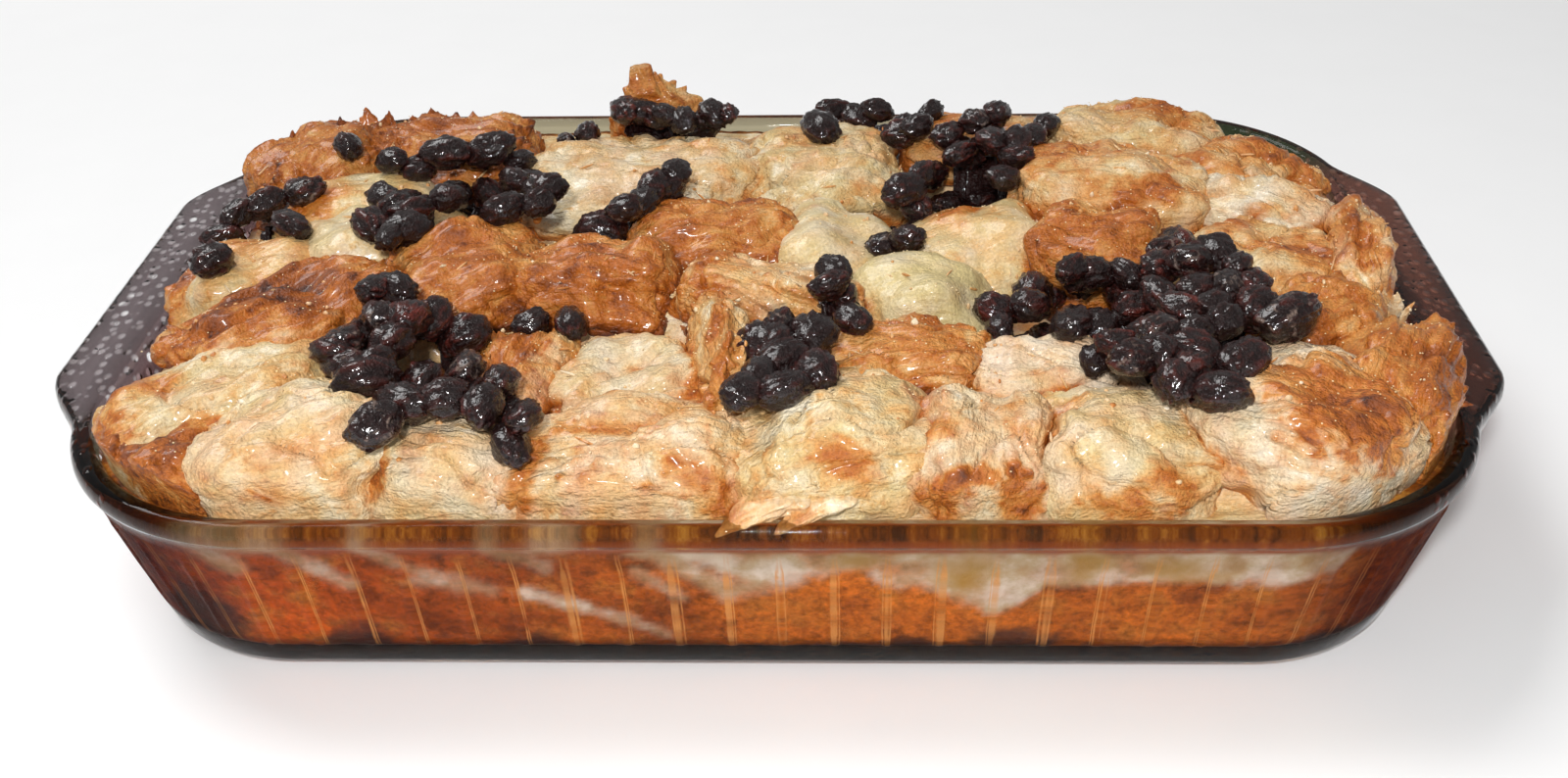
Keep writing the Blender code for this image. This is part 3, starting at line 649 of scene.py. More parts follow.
def ring_positions(inset, height, lug, flutes):
    """One ring of points (mm) round the dish, pushed out by the flutes between the foot and the rim band."""
    outline = dish_outline(inset, lug, WALL_STEP)
    out = np.roll(outline, -1, axis=0) - np.roll(outline, 1, axis=0)
    out = np.stack((out[:, 1], -out[:, 0]), axis=1)
    out /= np.linalg.norm(out, axis=1)[:, None]
    outline += out * (flutes * smooth_step(8, 11, height) * (1 - smooth_step(37, 40, height)))[:, None]
    return np.column_stack((outline, np.full(len(outline), height)))


def along_wall(points, settings):
    """How far (mm) each plan point near the wall lies round it from the nearest flute."""
    middle = dish_outline(9, 0, WALL_STEP)
    steps = np.linalg.norm(np.roll(middle, -1, axis=0) - middle, axis=1)
    pitch = steps.sum() / round(steps.sum() / (settings.flute_pitch / MM))
    along = np.concatenate(((0,), np.cumsum(steps)[:-1]))
    along -= along[np.hypot(middle[:, 0] - FLUTE_AT, middle[:, 1] + RIM_WIDE / 2).argmin()]
    nearest = [int(np.hypot(*(middle - point).T).argmin()) for point in points]
    return (along[nearest] + pitch / 2) % pitch - pitch / 2


def flute_shape(off):
    """The cross-section of a flute, 1 at its crest."""
    return np.exp(-((off / FLUTE_HALF) ** 4))


class PUDDING_OT_glass_dish(bpy.types.Operator):
    """Builds the fluted glass baking dish with its rim band and end lugs"""

    bl_idname = "pudding.glass_dish"
    bl_label = "Glass dish"

    def execute(self, context):
        settings = context.scene.pudding_dish
        flutes = flute_shape(along_wall(dish_outline(7, 0, WALL_STEP), settings)) * settings.flute_relief / MM
        none = np.zeros_like(flutes)
        bm = bmesh.new()
        ring = [bm.verts.new(p) for p in ring_positions(*DISH_PROFILE[0], none) * MM]
        edges = [bm.edges.new(pair) for pair in zip(ring, ring[1:] + ring[:1])]
        first = edges
        outside = True
        for inset, height, lug in DISH_PROFILE[1:]:
            verts, edges = next_ring(bm, edges)
            # Only the rings on the way up to the rim are outside, and only they are fluted.
            outside = outside and height < RIM_FOOT
            place_verts(verts, ring_positions(inset, height, lug, flutes if outside else none))
        bmesh.ops.holes_fill(bm, edges=first + edges, sides=0)
        bmesh.ops.recalc_face_normals(bm, faces=bm.faces)
        mesh = mesh_from(bm, "glass_dish_shell")
        points = read_points(mesh) / MM
        # Small pressed dimples on the inner faces of both ends.
        ends = smooth_step(150, 163, np.abs(points[:, 0])) * (points[:, 2] > 30)
        dimples = np.maximum(swell(points / (2.6, 2.6, 2.6)) - 0.15, 0)
        inside = depth_in_outline(points[:, :2], 4.5)[0] > 0
        points += read_normals(mesh) * (0.28 * dimples * ends * inside)[:, None]
        write_points(mesh, points * MM)
        write_values(mesh, **glass_depth(points))
        mesh.materials.append(glass_material(settings))
        new_piece("glass_dish_shell", mesh, "amber_glass", "glass_dish")
        return {"FINISHED"}


def glass_depth(points):
    """How each point (mm) of the glass is tinted, as shares that its material reads; some shares place
    painted shade.
    """
    x, y, z = np.abs(points[:, 0]), np.abs(points[:, 1]), points[:, 2]
    high = smooth_step(42.5, 44.5, z)
    lug = smooth_step(160, 172, x) * high
    end = smooth_step(146, 158, x) * smooth_step(26, 38, z)
    # The ends' inner faces above the pudding, which the material tints darker: painted shade.
    inner = end * (depth_in_outline(points[:, :2], 4.0)[0] > 0) * (1 - 0.5 * smooth_step(46, 51, z))
    # The corners, which the material tints darker: partly the glass's thickness, partly painted shade.
    corner = smooth_step(0, 30, np.minimum(x - (RIM_LONG / 2 - CORNER), y - (RIM_WIDE / 2 - CORNER)))
    return {
        "smoke": np.maximum(lug, end),
        "olive": high,
        "corner": corner,
        "inner": inner,
        "wet": (0.55 + 0.35 * corner) * (1 - high) * smooth_step(6.5, 9.5, z),
        # The foot, which the material tints dark brown: painted shade along the base.
        "foot": 1 - smooth_step(3, 6, z),
    }


def glass_material(settings):
    # Pressed soda-lime glass, thick and a little smoky: clear over the flat walls, olive along the rim band,
    # and dark purple-brown where the lugs and corners are seen through their full thickness; the corners and
    # the foot are tinted darker still, as painted shade.
    made, tree, shader, place = new_material("pressed soda-lime glass")
    smoke, olive, corner, inner, wet, foot = (
        add_node(tree, "Attribute", attribute_name=name).outputs["Fac"]
        for name in ("smoke", "olive", "corner", "inner", "wet", "foot")
    )
    axes = add_node(tree, "SeparateXYZ", {"Vector": place})
    # The left end is tinted paler and greyer and the right end darker and redder: painted light and shade,
    # the glass being the same at both ends.
    light_side = add_node(tree, "MapRange", {"Value": axes.outputs["X"], "From Min": -0.12, "From Max": 0.12})
    depth = add_node(
        tree, "Mix", {"Factor": light_side, "A": linear("#786c6e"), "B": linear("#6e4133")}, data_type="RGBA"
    )
    # The ends' inner faces are tinted dark maroon: painted shade.
    depth = add_node(tree, "Mix", {"Factor": inner, "A": depth, "B": linear("#5a3a3a")}, data_type="RGBA")
    tint = add_node(
        tree, "Mix", {"Factor": olive, "A": settings.glass, "B": linear("#b3a98c")}, data_type="RGBA"
    )
    tint = add_node(tree, "Mix", {"Factor": smoke, "A": tint, "B": depth}, data_type="RGBA")
    # The corners are tinted orange-brown below the rim band and olive-black along it: partly the glass's
    # thickness, partly painted shade.
    thick = add_node(
        tree, "Mix", {"Factor": olive, "A": linear("#94633f"), "B": linear("#3c4430")}, data_type="RGBA"
    )
    tint = add_node(tree, "Mix", {"Factor": corner, "A": tint, "B": thick}, data_type="RGBA")
    # The foot is tinted dark brown: painted shade along the base.
    tint = add_node(tree, "Mix", {"Factor": foot, "A": tint, "B": linear("#6a4a38")}, data_type="RGBA")
    # Pressed dimples about 1.7 mm wide and 3 to 5 mm apart, over the lugs and the ends' inner faces.
    stretched = add_node(tree, "Mapping", {"Vector": place, "Scale": (1.0, 0.62, 0.8)})
    dots = add_node(tree, "TexVoronoi", {"Vector": stretched, "Scale": 300.0, "Randomness": 0.55})
    dots = add_node(tree, "MapRange", {"Value": dots, "From Min": 0.34, "From Max": 0.16})
    dots = add_node(tree, "Math", {0: dots, 1: smoke}, operation="MULTIPLY")
    # Each dimple whitens the tint, palest over the left lug: a painted glint; the dimples' relief comes from
    # the bump below.
    painted_glint = add_node(
        tree, "Mix", {"Factor": light_side, "A": linear("#ffffff"), "B": linear("#a87868")}, data_type="RGBA"
    )
    tint = add_node(tree, "Mix", {"Factor": dots, "A": tint, "B": painted_glint}, data_type="RGBA")
    wave = add_node(tree, "TexNoise", {"Vector": place, "Scale": 180.0, "Detail": 2.0})
    height = add_node(tree, "Math", {0: dots, 1: 1.5, 2: wave}, operation="MULTIPLY_ADD")
    bump = add_node(tree, "Bump", {"Height": height, "Strength": 0.2, "Distance": 0.0006})
    glassy = {
        "Base Color": tint,
        "Roughness": 0.02,
        "IOR": 1.5,
        "Transmission Weight": 1.0,
        "Specular Tint": linear("#5a5a5a"),
        "Normal": bump,
    }
    fill_inputs(tree, shader, glassy)
    # Wet pudding lies against the wall below the rim, and there the glass bends light and mirrors little.
    once = add_node(tree, "Gamma", {"Color": tint, "Gamma": 0.5})
    bent = add_node(tree, "BsdfRefraction", {"Color": once, "Normal": bump, "Roughness": 0.02, "IOR": 1.5})
    glass = add_node(tree, "MixShader", {0: wet, 1: shader, 2: bent})
    # Light for shadows goes straight through the glass, so that the pudding behind it is lit.
    rays = add_node(tree, "LightPath")
    through = add_node(tree, "BsdfTransparent", {"Color": tint})
    both = add_node(tree, "MixShader", {0: rays.outputs["Is Shadow Ray"], 1: glass, 2: through})
    fill_inputs(tree, tree.nodes["Material Output"], {"Surface": both})
    return made


# --- Torn bread ---------------------------------------------------------------------------------------


def round_cube(cuts):
    """A finely cut cube as a mesh, and the unit direction of each of its points."""
    bm = bmesh.new()
    bmesh.ops.create_cube(bm, size=2)
    bmesh.ops.subdivide_edges(bm, edges=bm.edges, cuts=cuts, use_grid_fill=True)
    mesh = mesh_from(bm, "round_cube")
    points = read_points(mesh)
    return mesh, points / np.linalg.norm(points, axis=1)[:, None]


def keep_in_dish(points):
    """Presses points (mm) that would reach the glass softly inwards."""
    inset = np.interp(points[:, 2], (40, 49, 54, 62), (10.2, 7.2, 6.6, 4.0))
    depth, way = depth_in_outline(points[:, :2], inset)
    soft = 1.2
    pressed = soft * np.logaddexp(0, (depth - GLASS_GAP) / soft) + GLASS_GAP
    moved = points.copy()
    moved[:, :2] -= way * (pressed - depth)[:, None]
    return moved


def browning(item, offsets, local, seed):
    """How toasted each point is, 0 to 1, from the piece's own level, its browned patches and noise."""
    toast = item.toast + 0.13 * swell(local / 9 + seed * 3.1) + 0.07 * swell(local / 3.5 + seed)
    wobble = 0.6 * swell(local / 6 + 40 + seed) + 0.4 * swell(local / 2.6 + 70)
    wobble = wobble + 0.25 * swell(local / 1.3 + 7)
    for dx, dy, dz, reach_x, reach_y, level in BROWNED.get(item.name, ()):
        away = (offsets - (dx, dy, dz)) / (reach_x * 1.1, reach_y * 1.1, max(reach_y, 6) * 1.4)
        share = 1 - smooth_step(0.2, 1.4, np.linalg.norm(away, axis=1) + 0.55 * wobble)
        if item.kind != "crust":
            share *= 0.85
        toast += (level + 0.08 * wobble - toast) * share
    return toast


def surface_relief(item, local, toast, seed, strength):
    """Height in mm of creases, crumb and flakes, and the fine part of it that browns first."""
    shift = seed * PIECE_SHIFT
    bent = local + drift(local / 14 + shift) * 3.5
    soft = 1.0 * swell(bent / 13 + shift) + 0.4 * swell(bent / 5 + shift) + 0.12 * swell(local / 1.8)
    # Rips that run with the grain of the dough, the grain itself, and the open crumb between them.
    cleft = np.abs(swell((bent + shift) / (26, 12, 14) + 7))
    clefts = smooth_step(0.0, 0.09, cleft) - 1
    lips = np.exp(-(((cleft - 0.13) / 0.07) ** 2))
    grain = swell((bent + shift) / (13, 3.2, 3.6))
    hairs = swell((bent + shift) / (6.0, 1.3, 1.7))
    crumb_fine = 0.38 * grain + 0.14 * hairs + 0.34 * puffs(bent / 3.6 + shift)
    crumb_fine = crumb_fine + 0.10 * swell(local / 1.7 + shift)
    crumb = 1.5 * swell(bent / 11 + shift) + 0.7 * puffs(bent / 7.0 + shift) + 1.9 * clefts + crumb_fine
    fibre = (bent + shift) / (15, 3.6, 6)
    layers = (swell(fibre) * 1.3 + swell(bent / 11 + shift)) * 2.1
    steps = np.floor(layers) + smooth_step(0.62, 1.0, layers - np.floor(layers))
    flake_fine = 0.38 * swell((bent + shift) / (9, 1.9, 3.0)) + 0.10 * swell(local / 1.7)
    crust = 0.75 * steps + 0.7 * swell(local / 10 + shift) + flake_fine + 0.9 * clefts
    flaky = smooth_step(0.40, 0.6, toast) * (1.0 if item.kind == "crust" else 0.5)
    smooth = 0.8 if item.kind == "custard" else 0.0
    base = soft * smooth + crumb * (1 - smooth)
    fine = np.where(flaky > 0.5, flake_fine * 1.2, crumb_fine + 0.35 * lips) * (1 - 0.7 * smooth)
    return (base * (1 - flaky) + crust * flaky) * strength, fine, flaky


def torn_piece(item, seed, start, ways, settings):
    """The finished mesh of one torn piece of bread."""
    node = "bread_" + item.name
    low, high = (np.array(corner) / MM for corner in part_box(node))
    middle = (low + high) / 2
    depth = PEAK_DEPTH if item.name == "back_peak" else PIECE_DEPTH
    centre = np.array((middle[0] + item.dx, middle[1] + item.dy, low[2] + item.rise - depth))
    turn = np.array(Euler((radians(item.lean), radians(-item.tip), radians(item.yaw))).to_matrix())
    offset = Vector((seed * 3.7, seed * 1.9, seed * 5.3))
    lumps = np.array([noise.noise(Vector(way) * 1.6 + offset) for way in ways])
    reach = (np.abs(ways) ** item.boxy).sum(axis=1) ** (-1 / item.boxy) * (1 + LUMPS * lumps)
    local = ways * reach[:, None] * (item.long * CROWDING, item.wide * CROWDING, depth)
    local[:, :2] *= 1 - TAPER.get(item.name, 0) * smooth_step(0.0, 1.0, local[:, 2:] / depth)
    points = local @ turn.T + centre
    mesh = start.copy()
    mesh.name = node
    write_points(mesh, points)
    normals = read_normals(mesh)
    toast = browning(item, points - middle, local, seed)
    relief, fine, flaky = surface_relief(item, local, toast, seed, settings.relief)
    points += normals * relief[:, None]
    # Ragged tips stand out along the shoulder, where the piece was torn.
    shoulder = np.exp(-(((ways[:, 2] - 0.5) / 0.28) ** 2)) * item.ragged
    tips = np.maximum(swell(local / 2.6 + 90 + seed) - 0.05, 0) ** 1.3
    tips = tips * smooth_step(-0.2, 0.5, swell(local / 9 + seed))
    points += (ways @ turn.T) * (shoulder * tips * 4.2)[:, None]
    toast += 0.30 * np.clip(fine, -0.5, 0.9) * (0.35 + toast) + 0.5 * shoulder * tips
    points = keep_in_dish(points)
    points[:, 2] = np.minimum(points[:, 2], CAD_TOP - HEADROOM)
    write_points(mesh, points * MM)
    tint = swell(local / 7 + 55 + seed)
    fluff = swell(local / 8 + 20 + seed)
    write_values(
        mesh,
        toast=np.clip(toast, 0, 1),
        custard=np.clip(item.custard + 0.45 * tint, 0, 1),
        white=np.clip(item.white + 0.35 * fluff + 0.1 * fine, 0, 1),
        flaky=flaky,
    )
    write_grain(mesh, local + seed * PIECE_SHIFT + 2.2 * drift(local / 12))
    bm = bmesh.new()
    bm.from_mesh(mesh)
    bmesh.ops.bisect_plane(
        bm,
        geom=bm.verts[:] + bm.edges[:] + bm.faces[:],
        dist=1e-7,
        plane_co=(0, 0, (low[2] - SUNK) * MM),
        plane_no=(0, 0, -1),
        clear_outer=True,
    )
    bmesh.ops.holes_fill(bm, edges=[edge for edge in bm.edges if edge.is_boundary], sides=0)
    bmesh.ops.recalc_face_normals(bm, faces=bm.faces)
    bm.to_mesh(mesh)
    bm.free()
    return mesh


def bread_material(name, settings, gloss, bump_depth):
    """A finish of torn bread: its roughness about gloss, its relief bump_depth deep (m)."""
    made, tree, shader, place = new_material(name)
    toast, custard, white, along, across, up = (
        add_node(tree, "Attribute", attribute_name=value).outputs["Fac"]
        for value in ("toast", "custard", "white", "along", "across", "up")
    )
    # Crumb cells of about 1.6 mm and pores of about 0.8 mm, drawn coarser than real ones so that they show.
    cells = add_node(tree, "TexNoise", {"Vector": place, "Scale": 620.0, "Detail": 3.0, "Roughness": 0.65})
    pores = add_node(tree, "TexNoise", {"Vector": place, "Scale": 1300.0, "Detail": 2.0})
    # Fibres of the dough, about 1.2 mm wide and 7 mm long, along the grain of each torn piece.
    grain = add_node(tree, "CombineXYZ", {0: along, 1: across, 2: up})
    grain = add_node(tree, "Mapping", {"Vector": grain, "Scale": (0.14, 0.85, 0.7)})
    fibres = add_node(tree, "TexNoise", {"Vector": grain, "Scale": 1.0, "Detail": 3.0, "Distortion": 0.3})
    # Patches of about 13 mm that took more or less of the heat.
    blush = add_node(
        tree,
        "TexNoise",
        {"Vector": place, "Scale": 75.0, "Detail": 5.0, "Roughness": 0.62, "Distortion": 0.5},
    )
    streaks = add_node(tree, "Mix", {"Factor": 0.75, "A": cells, "B": fibres}, data_type="RGBA")
    uneven = add_node(tree, "Math", {0: streaks, 1: 0.36}, operation="MULTIPLY")
    warm = add_node(tree, "Math", {0: blush, 1: 0.85}, operation="MULTIPLY")
    level = add_node(tree, "Math", {0: toast, 1: uneven}, operation="ADD")
    level = add_node(tree, "Math", {0: level, 1: warm}, operation="ADD")
    level = add_node(tree, "Math", {0: level, 1: 0.61}, operation="SUBTRACT")
    # Freckles of about 5 mm where torn tips have caught the heat.
    freckle = add_node(tree, "TexNoise", {"Vector": place, "Scale": 200.0, "Detail": 5.0, "Roughness": 0.7})
    caught = add_node(
        tree, "MapRange", {"Value": freckle, "From Min": 0.54, "From Max": 0.70, "To Max": 0.24}
    )
    level = add_node(tree, "Math", {0: level, 1: caught}, operation="ADD")
    ramp = add_node(tree, "ValToRGB", {"Fac": level})
    stops = (
        (0.0, linear("#faecd0")),
        (0.12, settings.crumb),
        (0.26, settings.golden),
        (0.42, linear("#d38f46")),
        (0.62, settings.crust),
        (0.82, linear("#8a440f")),
        (1.0, settings.burnt),
    )
    fill_ramp(ramp, stops)
    pale = add_node(
        tree, "MapRange", {"Value": toast, "From Min": 0.2, "From Max": 0.5, "To Min": 1.0, "To Max": 0.0}
    )
    soaked = add_node(tree, "Math", {0: custard, 1: pale}, operation="MULTIPLY")
    fluffy = add_node(tree, "Math", {0: white, 1: pale}, operation="MULTIPLY")
    # A peach blush of about 25 mm where the sugar has only just begun to colour.
    warmth = add_node(tree, "TexNoise", {"Vector": place, "Scale": 40.0, "Detail": 3.0})
    peach = add_node(tree, "MapRange", {"Value": warmth, "From Min": 0.5, "From Max": 0.66, "To Max": 0.6})
    peach = add_node(tree, "Math", {0: peach, 1: pale}, operation="MULTIPLY")
    colour = add_node(tree, "Mix", {"Factor": peach, "A": ramp, "B": linear("#e6a76c")}, data_type="RGBA")
    colour = add_node(tree, "Mix", {"Factor": soaked, "A": colour, "B": settings.custard}, data_type="RGBA")
    colour = add_node(tree, "Mix", {"Factor": fluffy, "A": colour, "B": settings.white}, data_type="RGBA")
    # The pores darken the colour, to 0.8 of it in the deepest: painted shade in the pits.
    pore_shade = add_node(
        tree, "MapRange", {"Value": pores, "From Min": 0.36, "From Max": 0.62, "To Min": 0.80, "To Max": 0.99}
    )
    colour = add_node(
        tree, "Mix", {"Factor": 1.0, "A": colour, "B": pore_shade}, data_type="RGBA", blend_type="MULTIPLY"
    )
    rough = add_node(tree, "MapRange", {"Value": cells, "To Min": gloss - 0.12, "To Max": gloss + 0.18})
    both = add_node(tree, "Math", {0: pores, 1: 0.4, 2: streaks}, operation="MULTIPLY_ADD")
    bump = add_node(tree, "Bump", {"Height": both, "Strength": 0.9, "Distance": bump_depth})
    glazed = {
        "Base Color": colour,
        "Roughness": rough,
        "IOR": 1.42,
        "Coat Weight": 0.35,
        "Coat Roughness": 0.14,
        "Normal": bump,
    }
    fill_inputs(tree, shader, glazed)
    return made


class PUDDING_OT_torn_bread(bpy.types.Operator):
    """Builds the torn pieces of bread, each over its own solid"""

    bl_idname = "pudding.torn_bread"
    bl_label = "Torn bread"

    def execute(self, context):
        settings = context.scene.pudding_bread
        finishes = {
            # Open, airy crumb that baked pale with golden tips: matt, pitted, faintly wet with custard.
            "crumb": bread_material("baked brioche crumb", settings, 0.50, 0.0018),
            # Browned, layered crust: tighter surface with a low sheen where butter and sugar have melted.
            "crust": bread_material("browned brioche crust", settings, 0.38, 0.0018),
            # Crumb drowned in custard: smooth, yellow and shiny.
            "custard": bread_material("custard-soaked brioche", settings, 0.32, 0.0009),
        }
        cuts = BREAD_CUTS
        start, ways = round_cube(cuts)
        for seed, item in enumerate(TORN_BREAD):
            mesh = torn_piece(item, seed, start, ways, settings)
            mesh.materials.append(finishes[item.kind])
            slot = "bread_crust" if item.kind == "crust" else "bread_crumb"
            new_piece("torn_" + item.name, mesh, slot, "bread_" + item.name)
        bpy.data.meshes.remove(start)
        shade_the_gaps()
        return {"FINISHED"}


# --- The lie of the bread, for what fills and tops it -------------------------------------------------

MAP_X, MAP_Y = 190, 130  # half size of the height map, mm or cells


def pieces(prefix):
    """The pieces built so far whose names start with the prefix."""
    return [made for made in bpy.context.scene.objects if made.name.startswith(prefix)]


def cells_of(points):
    """The columns and the rows of the height map that points (mm) lie in."""
    return (np.rint(points[:, :2]).astype(int) + (MAP_X, MAP_Y)).T


def raise_ground(heights, points):
    """Lifts a height map to the points (mm) that lie above it."""
    column, row = cells_of(points)
    np.maximum.at(heights, (column, row), points[:, 2])


def spread_up(heights):
    """Fills cells that hold no point from their highest neighbour."""
    best = heights.copy()
    for way in ((0, 1), (0, -1), (1, 0), (-1, 0)):
        best = np.maximum(best, np.roll(heights, way, axis=(0, 1)))
    return np.where(heights > 0, heights, best)


def blurred(heights, reach):
    """A height map averaged over a square that goes reach cells each way."""
    total = np.zeros_like(heights)
    for dx in range(-reach, reach + 1, 2):
        for dy in range(-reach, reach + 1, 2):
            total += np.roll(heights, (dx, dy), axis=(0, 1))
    return total / (reach + 1) ** 2


def lie_of(prefix):
    """The highest point in each square millimetre of some pieces; 0 where there is none."""
    heights = np.zeros((2 * MAP_X + 1, 2 * MAP_Y + 1))
    for piece in pieces(prefix):
        raise_ground(heights, read_points(piece.data) / MM)
    return spread_up(spread_up(heights))


def height_at(heights, x, y):
    """The height map's value at each plan point (mm)."""
    column = np.clip(np.rint(np.asarray(x)).astype(int) + MAP_X, 0, 2 * MAP_X)
    row = np.clip(np.rint(np.asarray(y)).astype(int) + MAP_Y, 0, 2 * MAP_Y)
    return heights[column, row]


def shade_the_gaps():
    """Adds toast where the bread lies below the bread around it, so it shows browner and darker there:
    painted shade in the gaps between pieces.
    """
    bread = lie_of("torn_")
    around = blurred(np.where(bread > 0, bread, PUDDING_TOP), 8)
    for piece in pieces("torn_"):
        points = read_points(piece.data) / MM
        below = height_at(around, points[:, 0], points[:, 1]) - points[:, 2]
        inside = smooth_step(3, 12, depth_in_outline(points[:, :2], 6.0)[0])
        gap_shade = smooth_step(0.8, 5.5, below + 1.2 * swell(points / 4)) * inside
        toast = read_values(piece.data, "toast") + 0.36 * gap_shade
        write_values(piece.data, toast=np.clip(toast, 0, 1))


# --- Pudding body -------------------------------------------------------------------------------------

WALL_BITE = 0.25  # how far the pudding reaches into the glass, so that no air shows between them
PLAN_LEVEL = 46  # height at which the outline of the pudding's top is taken
GRID_LONG, GRID_WIDE = 230, 160  # faces along and across the pudding's top
# Levels (mm) of the rings of points down the wall, close enough to carry the pattern behind the glass.
WALL_LEVELS = (*np.linspace(45, 12, 23), 10.8, 9.6, 8.4, 7.2, 6.3, 5.6, 4.75)


def within_glass(square):
    """Spreads points of a square, -1 to 1, over the dish's inside (mm), and says how far out each lies."""
    inset = inner_inset(PLAN_LEVEL) - WALL_BITE
    half = np.array((RIM_LONG / 2 - inset, RIM_WIDE / 2 - inset))
    radius = CORNER - inset
    share = np.abs(square).max(axis=1)
    edge = square / np.maximum(share, 1e-9)[:, None] * half
    beyond = np.maximum(np.abs(edge) - (half - radius), 0)
    far = np.linalg.norm(beyond, axis=1)
    corner = (beyond > 0).all(axis=1)
    scale = np.where(corner, radius / np.maximum(far, 1e-9), 1.0)
    plan = np.sign(edge) * (np.abs(edge) - beyond + beyond * scale[:, None]) * share[:, None]
    return plan, share


def pudding_top(x, y, bread):
    """Height in mm of the soaked bread that shows between and beside the torn pieces."""
    flat = np.column_stack((x, y, np.zeros_like(x)))
    base = PUDDING_TOP - 1.2 + 1.3 * swell(flat / 15) + 0.5 * swell(flat / 5)
    ends = smooth_step(150, 163, np.abs(x)) * (1 - smooth_step(62, 92, np.abs(y)))
    base -= 5.5 * ends
    rough = 1.6 * puffs(flat / 8 + 9) + 0.8 * puffs(flat / 3.6 + 4) + 0.4 * swell(flat / (7, 2, 2))
    lifted = height_at(blurred(bread, 6), x, y) - 6.5 + rough
    depth = depth_in_outline(flat[:, :2], 7.0)[0]
    return np.maximum(base, base + (lifted - base) * smooth_step(6, 16, depth) * (lifted > base))


class PUDDING_OT_pudding_body(bpy.types.Operator):
    """Builds the set pudding that fills the dish"""

    bl_idname = "pudding.pudding_body"
    bl_label = "Set pudding"

    def execute(self, context):
        bread = lie_of("torn_")
        bm = bmesh.new()
        bmesh.ops.create_grid(bm, x_segments=GRID_LONG, y_segments=GRID_WIDE, size=1)
        mesh = bpy.data.meshes.new("pudding_fill")
        bm.to_mesh(mesh)
        plan, share = within_glass(read_points(mesh)[:, :2])
        points = np.column_stack((plan, pudding_top(plan[:, 0], plan[:, 1], bread)))
        rim = share > 0.9999
        points[rim] = along_glass(points[rim], points[rim, 2])
        place_verts(bm.verts, points)
        edges = [edge for edge in bm.edges if edge.is_boundary]
        for height in WALL_LEVELS:
            verts, edges = next_ring(bm, edges)
            spots = np.array([vert.co for vert in verts]) / MM
            place_verts(verts, along_glass(spots, np.minimum(height, spots[:, 2] - 0.5)))
        bmesh.ops.holes_fill(bm, edges=edges, sides=0)
        bmesh.ops.recalc_face_normals(bm, faces=bm.faces)
        top = len(points)
        bm.to_mesh(mesh)
        bm.free()
        points = read_points(mesh) / MM
        # Only the faces up to one ring from the glass are open crumb; the wall below shows the set custard.
        shown = np.zeros(len(points))
        shown[:top] = share < 0.99
        for face in mesh.polygons:
            face.material_index = int(shown[list(face.vertices)].all())
        toast = 0.22 + 0.3 * swell(points / 11 + 2) + 0.12 * swell(points / 3.7)
        custard = 0.25 + 0.6 * swell(points / 14 + 50)
        white = 0.15 + 0.5 * swell(points / 9 + 80)
        write_values(
            mesh, toast=np.clip(toast, 0, 1), custard=np.clip(custard, 0, 1), white=np.clip(white, 0, 1)
        )
        write_grain(mesh, points)
        write_values(mesh, **wall_pattern(points))
        # Where each point lies between two flutes, as the cosine and sine of its share of the pitch.
        turn = np.zeros(len(points))
        dish = context.scene.pudding_dish
        turn[top:] = along_wall(points[top:, :2], dish) * 2 * pi * MM / dish.flute_pitch
        streak = smooth_step(1, 8, points[:, 2]) * (1 - smooth_step(34, 44, points[:, 2]))
        streak = streak * np.clip(0.7 + 0.7 * swell(points / (9, 9, 5)), 0.15, 1)
        write_values(mesh, flute_cos=np.cos(turn), flute_sin=np.sin(turn), streak=streak)
        mesh.materials.append(pudding_material(context.scene.pudding_body))
        # The same crumb as the torn pieces, sunk between them.
        crumb = context.scene.pudding_bread
        mesh.materials.append(bread_material("soaked brioche crumb", crumb, 0.42, 0.0012))
        new_piece("pudding_fill", mesh, "baked_pudding", "pudding_body")
        return {"FINISHED"}


def along_glass(points, heights):
    """Moves points (mm) out or in to lie WALL_BITE deep in the glass's inner face at the given heights."""
    depth, way = depth_in_outline(points[:, :2], inner_inset(heights) - WALL_BITE)
    return np.column_stack((points[:, :2] + way * depth[:, None], heights))


# Behind the front wall: the lower edge of the pale band as (place along X, height); soft pale veins as
# (x, height, x, height, half width, strength); olive custard and dark syrup as (x, height, reach, reach).
BAND_LOW = (
    (-200, 50), (-45, 50), (-36, 42), (-24, 40), (-14, 37), (-4, 31), (8, 32), (18, 36), (28, 32), (38, 30),
    (46, 25), (53, 19), (61, 24), (67, 32), (77, 30), (90, 33), (106, 32), (122, 31), (131, 33), (138, 50),
    (200, 50),
)
VEINS = (
    (-135, 47, -124, 37, 2.6, 0.6), (-128, 46, -113, 44, 2.4, 0.5), (-113, 44, -98, 31, 2.0, 0.55),
    (-94, 45, -74, 31, 1.9, 0.5), (-80, 33, -66, 29, 2.6, 0.5), (-60, 42, -44, 46, 2.0, 0.5),
    (-27, 45, -9, 28, 2.4, 0.8), (-56, 27, -43, 22, 1.8, 0.85), (-43, 22, -24, 11, 1.7, 0.55),
    (-9, 28, 6, 33, 2.6, 0.7), (-63, 44, -52, 38, 1.8, 0.5), (-30, 36, -20, 26, 1.5, 0.5),
)
OLIVE = ((47, 36, 8, 9), (75, 39, 6, 5), (97, 37, 9, 5), (20, 40, 5, 3))
SYRUP = (
    (-101, 6, 12, 11), (-56, 5, 9, 7), (20, 3, 14, 6), (38, 5, 9, 7), (60, 7, 14, 9), (-136, 14, 11, 16),
    (132, 5, 10, 6),
)


